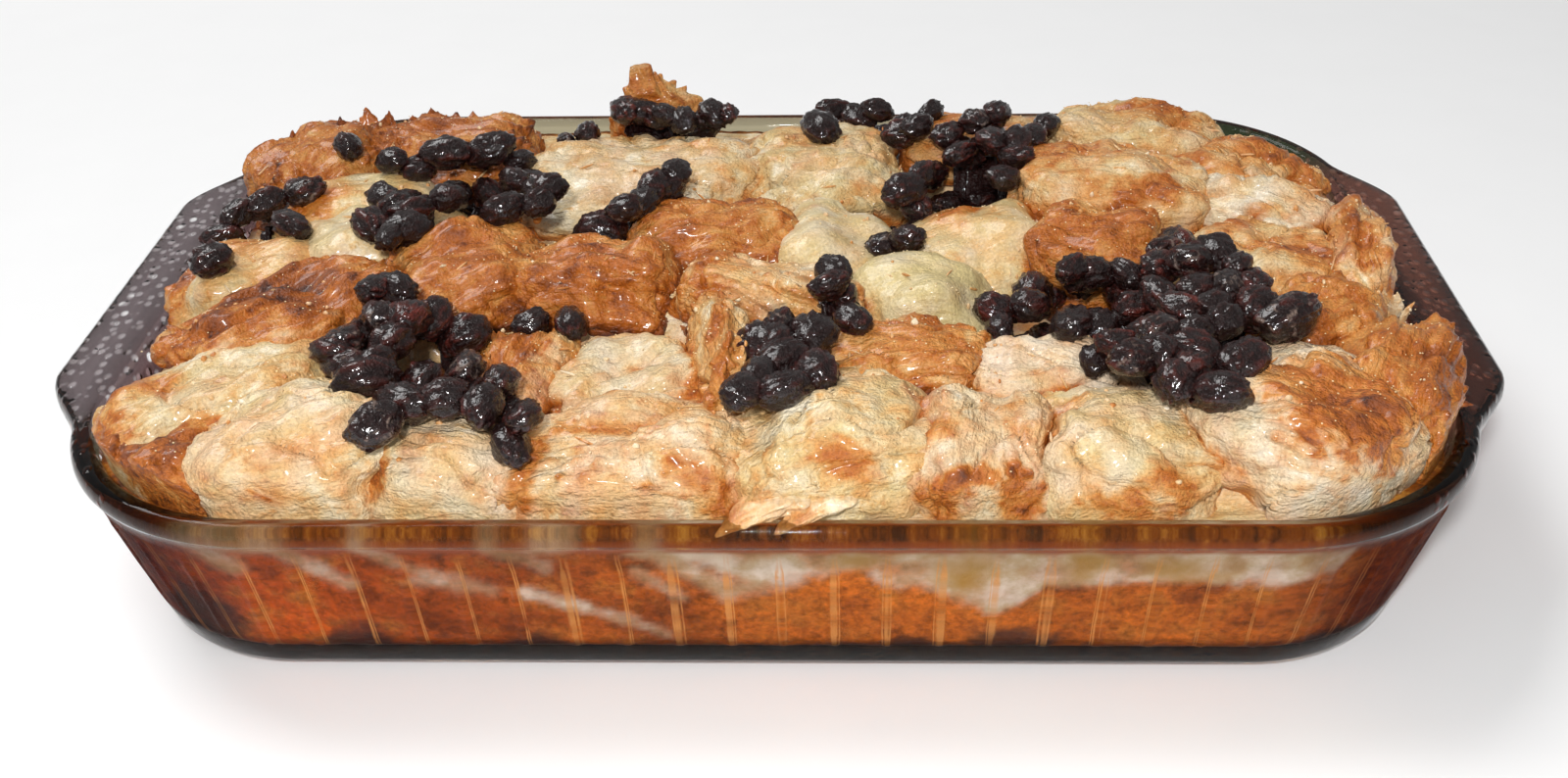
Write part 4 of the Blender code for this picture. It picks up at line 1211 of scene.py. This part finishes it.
def wall_pattern(points):
    """How pale, olive and dark the pudding set against the glass is at each point (mm)."""
    x, z = points[:, 0], points[:, 2]
    front = points[:, 1] < -60
    rough = 2.4 * swell(points / 9 + 3) + 1.3 * swell(points / 3.6 + 8) + 0.7 * swell(points / 1.7)
    low_x, low_z = np.transpose(BAND_LOW)
    elsewhere = 40 + 9 * swell(points / (34, 34, 200) + 5)
    low = np.where(front, np.interp(x, low_x, low_z), elsewhere)
    pale = smooth_step(-2.2, 2.6, z + rough - low) * (1 - smooth_step(41.8, 43.6, z + 0.35 * rough))
    pale *= np.clip(0.9 + 0.6 * swell(points / 8 + 31), 0.3, 1)
    for x0, z0, x1, z1, width, strength in VEINS:
        run = np.array((x1 - x0, z1 - z0))
        share = np.clip(((x - x0) * run[0] + (z - z0) * run[1]) / (run @ run), 0, 1)
        off = np.hypot(x - x0 - share * run[0], z - z0 - share * run[1]) + 0.55 * rough
        pale = np.maximum(pale, front * strength * (1 - smooth_step(0, 2, off / width)))
    stray = 0.6 * smooth_step(0.5, 0.8, swell(points / (26, 26, 5.5) + 60)) * (z < 40)
    pale = np.where(front, pale, np.maximum(pale, stray))
    olive, dark = np.zeros(len(points)), 1 - smooth_step(1.6, 4.2, z + 0.5 * rough)
    for place, height, reach_x, reach_z in OLIVE:
        off = np.hypot((x - place) / reach_x, (z - height) / reach_z) + 0.16 * rough
        olive = np.maximum(olive, 0.8 * front * (1 - smooth_step(0.1, 1.5, off)))
    for place, height, reach_x, reach_z in SYRUP:
        off = np.hypot((x - place) / reach_x, (z - height) / reach_z) + 0.14 * rough
        dark = np.maximum(dark, front * 0.85 * (1 - smooth_step(0.45, 1.15, off)))
    pools = smooth_step(0.3, 0.7, swell(points / (15, 15, 60) + 44)) * (1 - smooth_step(5, 12, z + rough))
    dark = np.where(front, dark, np.maximum(dark, 0.8 * pools))
    return {"pale": pale, "olive": olive, "dark": dark}


def pudding_material(settings):
    # Bread that has drunk its custard and set against the hot glass: mottled orange-brown, with pale soft
    # folds near the top and a dark, sticky line of raisin syrup at the bottom.
    made, tree, shader, place = new_material("custard-set bread against glass")
    pale, olive, dark, streak, flute_cos, flute_sin = (
        add_node(tree, "Attribute", attribute_name=name).outputs["Fac"]
        for name in ("pale", "olive", "dark", "streak", "flute_cos", "flute_sin")
    )
    axes = add_node(tree, "SeparateXYZ", {"Vector": place})
    # Grain of about 2 mm, mottling of about 10 mm and slow changes of about 40 mm along the wall.
    grain = add_node(tree, "TexNoise", {"Vector": place, "Scale": 420.0, "Detail": 4.0, "Roughness": 0.7})
    mottle = add_node(tree, "TexNoise", {"Vector": place, "Scale": 90.0, "Detail": 4.0, "Roughness": 0.6})
    slow = add_node(tree, "TexNoise", {"Vector": place, "Scale": 24.0, "Detail": 3.0, "Distortion": 0.5})
    spread = add_node(tree, "MapRange", {"Value": slow, "From Min": 0.34, "From Max": 0.66})
    brown = add_node(
        tree, "Mix", {"Factor": spread, "A": settings.dark, "B": settings.baked}, data_type="RGBA"
    )
    # Towards the dish's left end the bread is redder and deeper.
    leftward = add_node(tree, "MapRange", {"Value": axes.outputs["X"], "From Min": -0.02, "From Max": -0.11})
    deep = add_node(
        tree,
        "Mix",
        {"Factor": 1.0, "A": brown, "B": linear("#f8cd8c")},
        data_type="RGBA",
        blend_type="MULTIPLY",
    )
    brown = add_node(tree, "Mix", {"Factor": leftward, "A": brown, "B": deep}, data_type="RGBA")
    spots = add_node(tree, "MapRange", {"Value": mottle, "From Min": 0.5, "From Max": 0.66, "To Max": 0.8})
    brown = add_node(tree, "Mix", {"Factor": spots, "A": brown, "B": linear("#b06a26")}, data_type="RGBA")
    stain = add_node(tree, "MapRange", {"Value": mottle, "From Min": 0.46, "From Max": 0.34, "To Max": 0.7})
    brown = add_node(tree, "Mix", {"Factor": stain, "A": brown, "B": linear("#582107")}, data_type="RGBA")
    light = add_node(
        tree, "MapRange", {"Value": grain, "From Min": 0.36, "From Max": 0.66, "To Min": 0.6, "To Max": 1.35}
    )
    brown = add_node(
        tree, "Mix", {"Factor": 1.0, "A": brown, "B": light}, data_type="RGBA", blend_type="MULTIPLY"
    )
    line = add_node(tree, "MapRange", {"Value": axes.outputs["Z"], "From Min": 0.0420, "From Max": 0.0435})
    brown = add_node(tree, "Mix", {"Factor": line, "A": brown, "B": linear("#a54c12")}, data_type="RGBA")
    # Above the wall's bend the pudding lies in the rim's shade, with gold where bread touches the glass.
    above = add_node(tree, "MapRange", {"Value": axes.outputs["Z"], "From Min": 0.0448, "From Max": 0.0456})
    uneven = add_node(tree, "Mix", {"Factor": 0.5, "A": grain, "B": mottle}, data_type="RGBA")
    flecks = add_node(tree, "ValToRGB", {"Fac": uneven})
    fill_ramp(flecks, ((0.40, linear("#4a2409")), (0.52, linear("#8e4c15")), (0.64, linear("#c58a3a"))))
    brown = add_node(tree, "Mix", {"Factor": above, "A": brown, "B": flecks}, data_type="RGBA")
    tone = add_node(tree, "ValToRGB", {"Fac": mottle})
    fill_ramp(tone, ((0.36, linear("#b89a76")), (0.48, settings.soaked), (0.62, linear("#e2d8d4"))))
    colour = add_node(tree, "Mix", {"Factor": pale, "A": brown, "B": tone}, data_type="RGBA")
    colour = add_node(tree, "Mix", {"Factor": olive, "A": colour, "B": linear("#a8802e")}, data_type="RGBA")
    colour = add_node(tree, "Mix", {"Factor": dark, "A": colour, "B": settings.syrup}, data_type="RGBA")
    # Light gathered by each flute: two fine bright lines side by side.
    angle = add_node(tree, "Math", {0: flute_sin, 1: flute_cos}, operation="ARCTAN2")
    angle = add_node(tree, "Math", {0: angle}, operation="ABSOLUTE")
    angle = add_node(tree, "Math", {0: angle, 1: 0.22}, operation="SUBTRACT")
    angle = add_node(tree, "Math", {0: angle}, operation="ABSOLUTE")
    painted_glint = add_node(
        tree, "MapRange", {"Value": angle, "From Min": 0.05, "From Max": 0.2, "To Min": 0.8, "To Max": 0.0}
    )
    glint = add_node(tree, "Math", {0: streak, 1: painted_glint}, operation="MULTIPLY")
    colour = add_node(tree, "Mix", {"Factor": glint, "A": colour, "B": linear("#dd9b57")}, data_type="RGBA")
    bump = add_node(tree, "Bump", {"Height": grain, "Strength": 0.5, "Distance": 0.001})
    sticky = {"Base Color": colour, "Roughness": 0.4, "Specular IOR Level": 0.2, "Normal": bump}
    fill_inputs(tree, shader, sticky)
    return made


# --- Raisins ------------------------------------------------------------------------------------------

RAISIN_KINDS = 12  # forms that the raisins share
CORE_SHARE = 0.6  # size of the dark core under a heap, as a share of the heap
CORE_DROP = 7.5  # mm that the core's top lies below the heap's
CORE_RISE = 0.6  # mm that the core may rise above the bread
CORE_TINT, CORE_FOLD = 0.15, 0.3  # how red the core is and how much its folds show
MILKY_SHARE = 0.12  # share of the raisins that wear a milky film
RAISIN_SCALE = 1.14  # of every raisin over its listed size
RAISIN_SINK = 1.3  # mm that a raisin settles into what it lies on
UNDER_GAP = 12.0  # mm between the raisins of a heap's lower layer
PILE_RISE = 2.0  # mm that a heap's raisins may rise above its listed height
RAISIN_HEADROOM = 0.1  # mm left under the top of the solids
HEAP_DEPTH = 8.5  # mm from a heap's listed height down to the middle of its core


def wrinkled_raisins(settings):
    """Unit raisins as meshes: plump seeds with skin gathered in folds along them."""
    made = []
    for kind in range(RAISIN_KINDS):
        bm = bmesh.new()
        bmesh.ops.create_icosphere(bm, subdivisions=4, radius=1)
        mesh = mesh_from(bm, "raisin_form")
        way = read_points(mesh)
        shift = kind * 7.3
        bent = way + 0.25 * drift(way * 1.7 + shift, (5, 9, 14))
        folds = 0.8 * puffs(bent * (0.7, 2.6, 2.6) + shift)
        folds = folds + 0.45 * puffs(bent * (1.3, 5.0, 5.0) + shift + 20)
        body = 1 + 0.10 * swell(way * 1.1 + shift) - settings.wrinkles * (0.8 - folds)
        points = way * body[:, None]
        points[:, 1] *= 0.74 + 0.07 * sin(kind * 2.1)
        points[:, 2] *= 0.64 + 0.05 * cos(kind * 1.3)
        points[:, 2] += 0.10 * cos(kind) * points[:, 0] ** 2
        points[:, 1] += 0.12 * sin(kind * 1.7) * points[:, 0] ** 2
        write_points(mesh, points)
        write_values(mesh, fold=np.clip(folds, 0, 1))
        made.append(mesh)
    return made


def heap_core(size, middle, top, bread, seed):
    """A low dark mound (mm), bumpy at the size of a raisin, that fills a heap from below."""
    long, wide, _, yaw, dx, dy = size
    bm = bmesh.new()
    bmesh.ops.create_icosphere(bm, subdivisions=5, radius=1)
    mesh = mesh_from(bm, "heap_core")
    spots = read_points(mesh) * (long, wide, HEAP_DEPTH)
    bumps = 1 + 0.12 * puffs(spots / 6.5 + seed * 3)
    turn = np.array(Matrix.Rotation(-radians(yaw), 3, "Z"))
    points = spots * CORE_SHARE * bumps[:, None] @ turn
    points += (middle[0] + dx, middle[1] + dy, top - HEAP_DEPTH)
    shown = height_at(bread, points[:, 0], points[:, 1]) + CORE_RISE
    points[:, 2] = np.minimum(points[:, 2], np.minimum(top - CORE_DROP, shown))
    return mesh, points


def lower_layer(size, dice):
    """Places, turns and sizes of the raisins under a heap's top ones, on a loose grid inside its outline."""
    if not size:
        return []
    long, wide, _, yaw, dx, dy = size
    made = []
    for row in range(-3, 4):
        for column in range(-3, 4):
            u = (column + 0.5 * (row % 2)) * UNDER_GAP + dice.uniform(-2.5, 2.5)
            v = row * UNDER_GAP * 0.87 + dice.uniform(-2.5, 2.5)
            if (u / long) ** 2 + (v / wide) ** 2 < 0.75:
                x = dx + u * cos(radians(yaw)) - v * sin(radians(yaw))
                y = dy + u * sin(radians(yaw)) + v * cos(radians(yaw))
                made.append((x, y, dice.uniform(-90, 90), dice.uniform(0.75, 1.05)))
    return made


def settle(ground, raisin, most):
    """How far to lift a raisin (mm), modelled about height 0, to rest on the ground and not pass most."""
    column, row = cells_of(raisin)
    under = raisin[:, 2] < 0
    contact = (ground[column, row] - raisin[:, 2])[under]
    return min(np.percentile(contact, 92) - RAISIN_SINK, most - raisin[:, 2].max())


def raisin_material(settings):
    # Plumped raisin skin: thin, tough and waxed with syrup, so nearly black with a red glow at the folds'
    # crests and small hard highlights.
    made, tree, shader, place = new_material("plumped raisin skin")
    tint, fold, film = (
        add_node(tree, "Attribute", attribute_name=name).outputs["Fac"] for name in ("tint", "fold", "film")
    )
    fine = add_node(tree, "TexNoise", {"Vector": place, "Scale": 700.0, "Detail": 3.0})
    glow = add_node(tree, "Math", {0: tint, 1: fold}, operation="MULTIPLY")
    colour = add_node(tree, "Mix", {"Factor": glow, "A": settings.dark, "B": settings.red}, data_type="RGBA")
    blotch = add_node(tree, "TexNoise", {"Vector": place, "Scale": 330.0, "Detail": 4.0, "Distortion": 0.8})
    patch = add_node(tree, "MapRange", {"Value": blotch, "From Min": 0.56, "From Max": 0.70})
    milky = add_node(tree, "Math", {0: patch, 1: film}, operation="MULTIPLY")
    colour = add_node(tree, "Mix", {"Factor": milky, "A": colour, "B": linear("#7d6a60")}, data_type="RGBA")
    # Fine wrinkles of about 1.8 mm over the folds, and a grain of about 1.4 mm.
    creases = add_node(tree, "TexNoise", {"Vector": place, "Scale": 560.0, "Detail": 1.5, "Distortion": 1.2})
    ridged = add_node(tree, "Math", {0: creases, 1: 0.5}, operation="SUBTRACT")
    ridged = add_node(tree, "Math", {0: ridged}, operation="ABSOLUTE")
    height = add_node(tree, "Math", {0: fine, 1: 0.35, 2: ridged}, operation="MULTIPLY_ADD")
    skin = add_node(tree, "Bump", {"Height": height, "Strength": 1.0, "Distance": 0.0026})
    gloss = add_node(tree, "Bump", {"Height": ridged, "Strength": 0.3, "Distance": 0.001})
    waxed = {
        "Base Color": colour,
        "Roughness": 0.34,
        "Specular IOR Level": 0.12,
        "Coat Weight": 0.8,
        "Coat Roughness": 0.05,
        "Normal": skin,
        "Coat Normal": gloss,
    }
    fill_inputs(tree, shader, waxed)
    return made


class PUDDING_OT_raisins(bpy.types.Operator):
    """Builds every heap of raisins and the single ones, each resting on the bread"""

    bl_idname = "pudding.raisins"
    bl_label = "Raisins"

    def execute(self, context):
        settings = context.scene.pudding_raisins
        forms = wrinkled_raisins(settings)
        finish = raisin_material(settings)
        bread = np.maximum(lie_of("torn_"), lie_of("pudding_fill"))
        dice = np.random.default_rng(5)
        for number, (node, (size, spots)) in enumerate(HEAPS.items()):
            low, high = (np.array(corner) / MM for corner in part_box(node))
            middle = (low + high) / 2
            bm = bmesh.new()
            places, tints, films, folds = [], [], [], []
            ground = bread.copy()
            most = CAD_TOP
            if size:
                top = low[2] + size[2]
                most = top + PILE_RISE
                mesh, points = heap_core(size, middle, top, bread, number)
                bm.from_mesh(mesh)
                places.append(points)
                tints += [CORE_TINT] * len(points)
                films += [0.0] * len(points)
                folds += [CORE_FOLD] * len(points)
                bpy.data.meshes.remove(mesh)
            for dx, dy, yaw, scale in lower_layer(size, dice) + spots:
                kind = int(dice.integers(RAISIN_KINDS))
                length = settings.length / MM / 2 * scale * RAISIN_SCALE
                roll, pitch = dice.uniform(-0.7, 0.7), dice.uniform(-0.3, 0.3)
                rotation = np.array(Euler((roll, pitch, radians(yaw))).to_matrix())
                raisin = read_points(forms[kind]) * length @ rotation.T + (middle[0] + dx, middle[1] + dy, 0)
                raisin[:, 2] += settle(ground, raisin, most)
                raise_ground(ground, raisin)
                bm.from_mesh(forms[kind])
                places.append(raisin)
                tints += [float(dice.beta(1.6, 2.2))] * len(raisin)
                films += [1.0 if dice.random() < MILKY_SHARE else 0.0] * len(raisin)
                folds += [value.value for value in forms[kind].attributes["fold"].data]
            mesh = mesh_from(bm, node)
            points = np.concatenate(places)
            points[:, 2] = np.minimum(points[:, 2], CAD_TOP - RAISIN_HEADROOM)
            write_points(mesh, points * MM)
            write_values(mesh, tint=tints, film=films, fold=folds)
            mesh.materials.append(finish)
            new_piece("plump_" + node, mesh, "raisin_skin", node)
        for form in forms:
            bpy.data.meshes.remove(form)
        return {"FINISHED"}


# --- Shreds, crumbs and syrup -------------------------------------------------------------------------

# Larger shreds of crust: root (X, Y, Z) and tip (X, Y, Z), width, how it curls and how toasted it is.
SHREDS = [
    (-150, 64, 54, -167, 66, 59, 12, 0.1, 0.62), (-152, 66, 54, -155, 68, 69, 11, 0.1, 0.72),
    (-149, 70, 54, -150, 72, 68, 10, -0.1, 0.66), (-141, 77, 55, -142, 79, 69, 12, 0.1, 0.7),
    (-134, 83, 55, -135, 86, 69, 11, 0.0, 0.66), (-128, 84, 55, -127, 86, 68, 10, 0.1, 0.7),
    (-119, 87, 55, -121, 89, 65, 10, -0.1, 0.6), (-114, 89, 55, -116, 91, 67, 9, 0.1, 0.62),
    (-145, 74, 54, -147, 75, 66, 10, 0.0, 0.74), (-155, 57, 52, -166, 55, 57, 10, 0.1, 0.66),
    (-33, 100, 58, -34, 100, 66, 4, 0.1, 0.3), (-26, 98, 58, -28, 98, 64, 4, 0.0, 0.3),
    (-147, -48, 60, -156, -50, 58, 6, 0.2, 0.7), (-145, -43, 61, -153, -43, 59, 5, 0.2, 0.66),
    (-141, -38, 62, -149, -36, 60, 5, 0.1, 0.66), (-74, 10, 64, -75, 9, 71, 4, 0.0, 0.5),
    (-69, 11, 64, -67, 10, 70, 4, 0.1, 0.5), (-78, 5, 64, -80, 4, 69, 3, 0.0, 0.55),
    (160, -30, 58, 158, -32, 66, 4, 0.1, 0.15), (162, -35, 58, 161, -37, 67, 5, 0.0, 0.12),
    (162, -39, 58, 164, -40, 66, 4, -0.1, 0.2), (166, -49, 58, 171, -50, 63, 5, 0.1, 0.7),
    (167, -58, 58, 171, -60, 63, 5, 0.1, 0.78), (165, -68, 58, 170, -70, 62, 5, 0.1, 0.7),
    (164, -75, 57, 170, -77, 57, 4, 0.1, 0.66), (137, -52, 61, 140, -52, 67, 5, 0.1, 0.2),
    (13, -107, 56, -10, -119.3, 51.6, 17, -0.1, 0.2), (22, -109, 55.5, 3, -119, 51.8, 13, -0.1, 0.24),
    (-17, -34, 64, -19, -36, 72, 5, 0.1, 0.6), (-11, -51, 64, -7, -53, 70, 5, 0.1, 0.62),
    (110, -64, 61, 106, -67, 59, 3, -0.1, 0.1), (116, -59, 61, 112, -63, 59, 3, -0.1, 0.12),
    (124, -56, 61, 120, -60, 59, 3, -0.1, 0.1), (131, -51, 61, 128, -54, 58, 3, -0.1, 0.14),
    (24, -76, 61, 18, -79, 59, 3, -0.1, 0.15), (-57, -102, 57, -63, -102, 55, 4, -0.1, 0.5),
]
FIBRES = 160  # small torn threads of crumb


def shred_shape(ways, root, tip, width, curl, seed):
    """Moves the directions of a round cube onto a thin, tapered, ragged strip from root to tip (mm)."""
    root, tip = Vector(root), Vector(tip)
    along = tip - root
    length = along.length
    turn = np.array(along.to_track_quat("X", "Z").to_matrix())
    u = ways[:, 0] * 0.5 + 0.5
    edge = 1 + 0.45 * swell(ways * (2.4, 1.2, 1.2) * 1.6 + seed * 1.7)
    taper = (1.02 - u) ** 0.55 * edge
    bend = curl * length * (u**2 + 0.2 * np.sin(u * 5 + seed))
    twist = (ways[:, 1] * taper) ** 2 * width * 0.16
    thick = (0.24 * width * (1 - 0.75 * u) + 0.25) * ways[:, 2]
    reach = u * length * (1 + 0.12 * edge - 0.12)
    strip = np.stack((reach, ways[:, 1] * taper * width / 2, thick + bend + twist), axis=1)
    return strip @ turn.T + root


class PUDDING_OT_shreds(bpy.types.Operator):
    """Adds the ragged tips and torn threads that stand out from the bread"""

    bl_idname = "pudding.shreds"
    bl_label = "Shreds"

    def execute(self, context):
        settings = context.scene.pudding_bread
        dice = np.random.default_rng(11)
        bread = lie_of("torn_")
        bm = bmesh.new()
        places, toasts = [], []
        large, large_ways = round_cube(11)
        for seed, (*ends, width, curl, toast) in enumerate(SHREDS):
            bm.from_mesh(large)
            points = shred_shape(large_ways, ends[:3], ends[3:], width, curl, seed)
            places.append(points)
            rise = np.clip(large_ways[:, 0], 0, 1)
            toasts.append(toast + 0.16 * rise + 0.12 * swell(points / 2.2))
        small, small_ways = round_cube(2)
        spots = scatter_spots(dice, bread, FIBRES, BREAD_FLOOR)
        for seed, spot in enumerate(spots):
            bm.from_mesh(small)
            length, yaw = dice.uniform(2.0, 5.5), dice.uniform(0, 2 * pi)
            tip = spot + (cos(yaw) * length, sin(yaw) * length, dice.uniform(-0.8, 1.0))
            tip[2] = max(tip[2], float(height_at(bread, tip[0], tip[1])) + 0.2)
            if tip[2] > spot[2] + 3:
                tip = spot + (0.5, 0.5, 0.3)
            width, curl = dice.uniform(0.45, 0.9), dice.uniform(0, 0.1)
            points = shred_shape(small_ways, spot - (0, 0, 0.4), tip, width, curl, seed)
            places.append(points)
            toasts.append(np.full(len(points), dice.uniform(0.1, 0.5)))
        mesh = mesh_from(bm, "torn_shreds")
        points = np.concatenate(places)
        points[:, 2] = np.minimum(points[:, 2], CAD_TOP - HEADROOM)
        write_points(mesh, points * MM)
        toast = np.clip(np.concatenate(toasts), 0, 1)
        write_values(mesh, toast=toast, custard=np.zeros_like(toast), white=np.full_like(toast, 0.15))
        write_grain(mesh, points[:, (1, 0, 2)])
        # Dry torn tips: thin, fibrous and matt, browned towards their ends.
        mesh.materials.append(bread_material("torn brioche shreds", settings, 0.5, 0.0006))
        new_piece("torn_shreds", mesh, "bread_crust")
        for form in (large, small):
            bpy.data.meshes.remove(form)
        return {"FINISHED"}


def many_copies(count, subdivisions):
    """A mesh of count unit balls, made by doubling one up, and their points as an array by ball."""
    bm = bmesh.new()
    bmesh.ops.create_icosphere(bm, subdivisions=subdivisions, radius=1)
    each = len(bm.verts)
    while len(bm.verts) < count * each:
        bmesh.ops.duplicate(bm, geom=bm.verts[:] + bm.edges[:] + bm.faces[:])
    bm.verts.ensure_lookup_table()
    bmesh.ops.delete(bm, geom=bm.verts[count * each :], context="VERTS")
    mesh = mesh_from(bm, "scattered")
    return mesh, read_points(mesh).reshape(count, each, 3)


def scatter_spots(dice, cover, count, lowest):
    """Random places (mm) on whatever lies higher than lowest."""
    x = dice.uniform(-SCATTER_X, SCATTER_X, count * 2)
    y = dice.uniform(-SCATTER_Y, SCATTER_Y, count * 2)
    ground = height_at(cover, x, y)
    inside = depth_in_outline(np.column_stack((x, y)), SCATTER_EDGE)[0] > 0
    keep = np.flatnonzero((ground > lowest) & inside)[:count]
    return np.column_stack((x, y, ground))[keep]


class PUDDING_OT_crumbs(bpy.types.Operator):
    """Scatters small crumbs of bread over the torn pieces"""

    bl_idname = "pudding.crumbs"
    bl_label = "Crumbs"

    def execute(self, context):
        settings = context.scene.pudding_bread
        dice = np.random.default_rng(23)
        spots = scatter_spots(dice, lie_of("torn_"), CRUMBS, BREAD_FLOOR)
        mesh, balls = many_copies(len(spots), 2)
        rough = 1 + 0.4 * swell((balls * 1.3 + spots[:, None, :]).reshape(-1, 3)).reshape(balls.shape[:2])
        size = dice.uniform(0.25, 0.75, (len(spots), 1, 1)) * dice.uniform(0.6, 1.5, (len(spots), 1, 3))
        points = balls * rough[:, :, None] * size + spots[:, None, :]
        write_points(mesh, points.reshape(-1, 3) * MM)
        mesh.name = "loose_crumbs"
        toast = np.repeat(dice.uniform(0.1, 0.5, len(spots)), balls.shape[1])
        write_values(mesh, toast=toast, custard=np.zeros_like(toast), white=np.full_like(toast, 0.2))
        mesh.materials.append(bread_material("loose brioche crumbs", settings, 0.5, 0.0005))
        new_piece("loose_crumbs", mesh, "bread_crumb")
        return {"FINISHED"}


class PUDDING_OT_syrup(bpy.types.Operator):
    """Scatters small beads of syrup and custard that catch the light"""

    bl_idname = "pudding.syrup"
    bl_label = "Syrup beads"

    def execute(self, context):
        dice = np.random.default_rng(31)
        bread, raisins = lie_of("torn_"), lie_of("plump_")
        spots = scatter_spots(dice, np.where(raisins > bread, 0, bread), BEADS, BEAD_FLOOR)
        mesh, balls = many_copies(len(spots), 1)
        size = dice.uniform(0.12, 0.28, (len(spots), 1, 1)) * (1.2, 1.0, 0.8)
        write_points(mesh, (balls * size + spots[:, None, :]).reshape(-1, 3) * MM)
        mesh.name = "syrup_beads"
        # Thin clear syrup that has beaded on the crumb: pale gold, wet and bright.
        made, tree, shader, place = new_material("clear sugar syrup")
        haze = add_node(tree, "TexNoise", {"Vector": place, "Scale": 900.0})
        colour = add_node(
            tree, "Mix", {"Factor": haze, "A": linear("#e2c48c"), "B": linear("#efdcb6")}, data_type="RGBA"
        )
        wet = {"Base Color": colour, "Roughness": 0.06, "Coat Weight": 1.0, "Coat Roughness": 0.03}
        fill_inputs(tree, shader, wet)
        mesh.materials.append(made)
        new_piece("syrup_beads", mesh, "raisin_skin")
        return {"FINISHED"}


# --- Stage --------------------------------------------------------------------------------------------

# Lights as place (m), size (m) and power (W); the key light's power is a setting.
KEY_PLACE, KEY_SIZE = (-1.0, 0.75, 1.9), 1.1
FILL_PLACE, FILL_SIZE, FILL_POWER = (0.2, -1.0, 0.6), 1.0, 2.0
GLINT_PLACE, GLINT_SIZE, GLINT_POWER = (-0.02, -0.55, 0.44), 0.05, 3.1
SKY_STRENGTH = 0.28
FLOOR_HALF = 4.0  # m, half of the floor's side
FLOOR_DROP = 0.0002  # m that the floor lies below the dish's foot
CAMERA_PLACE = (0.0204, -0.4419, 0.2844)  # m
CAMERA_TURNS = (("Z", 1.89), ("X", 58.71), ("Z", -1.06))  # degrees, the last of them applied first
CAMERA_LENS = 40.58  # mm
CAMERA_SHIFT = (-0.011, -0.0005)  # shares of the frame's width


def area_light(name, power, size, place, target):
    """Adds a square white light at a place, turned to its target."""
    light = bpy.data.lights.new(name, "AREA")
    light.energy = power
    light.size = size
    made = bpy.data.objects.new(name, light)
    made.location = place
    made.rotation_euler = (Vector(target) - Vector(place)).to_track_quat("-Z", "Y").to_euler()
    bpy.context.scene.collection.objects.link(made)


class PUDDING_OT_stage(bpy.types.Operator):
    """Sets up the plain pale floor, the soft studio light and the camera"""

    bl_idname = "pudding.stage"
    bl_label = "Stage"

    def execute(self, context):
        settings = context.scene.pudding_stage
        scene = context.scene
        bm = bmesh.new()
        bmesh.ops.create_grid(bm, x_segments=4, y_segments=4, size=FLOOR_HALF)
        mesh = mesh_from(bm, "floor")
        made, tree, shader, place = new_material("matt white paper sweep")
        fibre = add_node(tree, "TexNoise", {"Vector": place, "Scale": 30.0, "Detail": 2.0})
        tone = add_node(
            tree, "Mix", {"Factor": fibre, "A": settings.floor, "B": linear("#f7f7f7")}, data_type="RGBA"
        )
        fill_inputs(tree, shader, {"Base Color": tone, "Roughness": 0.9})
        mesh.materials.append(made)
        floor = bpy.data.objects.new("floor", mesh)
        floor.location.z = -FLOOR_DROP
        scene.collection.objects.link(floor)

        world = bpy.data.worlds.new("soft_room")
        scene.world = world
        world.use_nodes = True
        room = world.node_tree
        sky = {"Color": linear("#ffffff"), "Strength": SKY_STRENGTH}
        fill_inputs(room, room.nodes["Background"], sky)
        middle = (CAD_BOX[0] + CAD_BOX[1]) / 2
        area_light("key", settings.key_power, KEY_SIZE, KEY_PLACE, middle)
        area_light("fill", FILL_POWER, FILL_SIZE, FILL_PLACE, middle)
        area_light("near_camera", GLINT_POWER, GLINT_SIZE, GLINT_PLACE, middle)

        camera = bpy.data.cameras.new("view")
        camera.sensor_width = 36.0
        camera.lens = CAMERA_LENS
        camera.shift_x, camera.shift_y = CAMERA_SHIFT
        camera.clip_start = 0.01
        seen = bpy.data.objects.new("view", camera)
        view = Matrix.Translation(CAMERA_PLACE)
        for axis, angle in CAMERA_TURNS:
            view = view @ Matrix.Rotation(radians(angle), 4, axis)
        seen.matrix_world = view
        scene.collection.objects.link(seen)
        scene.camera = seen
        scene.view_settings.view_transform = "Standard"
        return {"FINISHED"}


# --- Panel and running --------------------------------------------------------------------------------

MAKERS = (
    PUDDING_OT_glass_dish,
    PUDDING_OT_torn_bread,
    PUDDING_OT_pudding_body,
    PUDDING_OT_raisins,
    PUDDING_OT_shreds,
    PUDDING_OT_crumbs,
    PUDDING_OT_syrup,
    PUDDING_OT_stage,
)
SETTINGS = {
    "pudding_dish": DishSettings,
    "pudding_body": PuddingSettings,
    "pudding_bread": BreadSettings,
    "pudding_raisins": RaisinSettings,
    "pudding_stage": StageSettings,
}


class PUDDING_PT_makers(bpy.types.Panel):
    """Lists what builds the bread pudding and its settings"""

    bl_idname = "PUDDING_PT_makers"
    bl_label = "Bread pudding"
    bl_space_type = "VIEW_3D"
    bl_region_type = "UI"
    bl_category = "Pudding"

    def draw(self, context):
        for maker in MAKERS:
            self.layout.operator(maker.bl_idname)
        for name, group in SETTINGS.items():
            box = self.layout.box()
            for key in group.__annotations__:
                box.prop(getattr(context.scene, name), key)


def register():
    for name, group in SETTINGS.items():
        bpy.utils.register_class(group)
        setattr(bpy.types.Scene, name, PointerProperty(type=group))
    for made in (*MAKERS, PUDDING_PT_makers):
        bpy.utils.register_class(made)


def unregister():
    for made in (PUDDING_PT_makers, *reversed(MAKERS)):
        bpy.utils.unregister_class(made)
    for name, group in reversed(SETTINGS.items()):
        delattr(bpy.types.Scene, name)
        bpy.utils.unregister_class(group)


def main():
    """Builds everything."""
    register()
    for maker in MAKERS:
        family, action = maker.bl_idname.split(".")
        getattr(getattr(bpy.ops, family), action)()


if __name__ == "__main__":
    main()
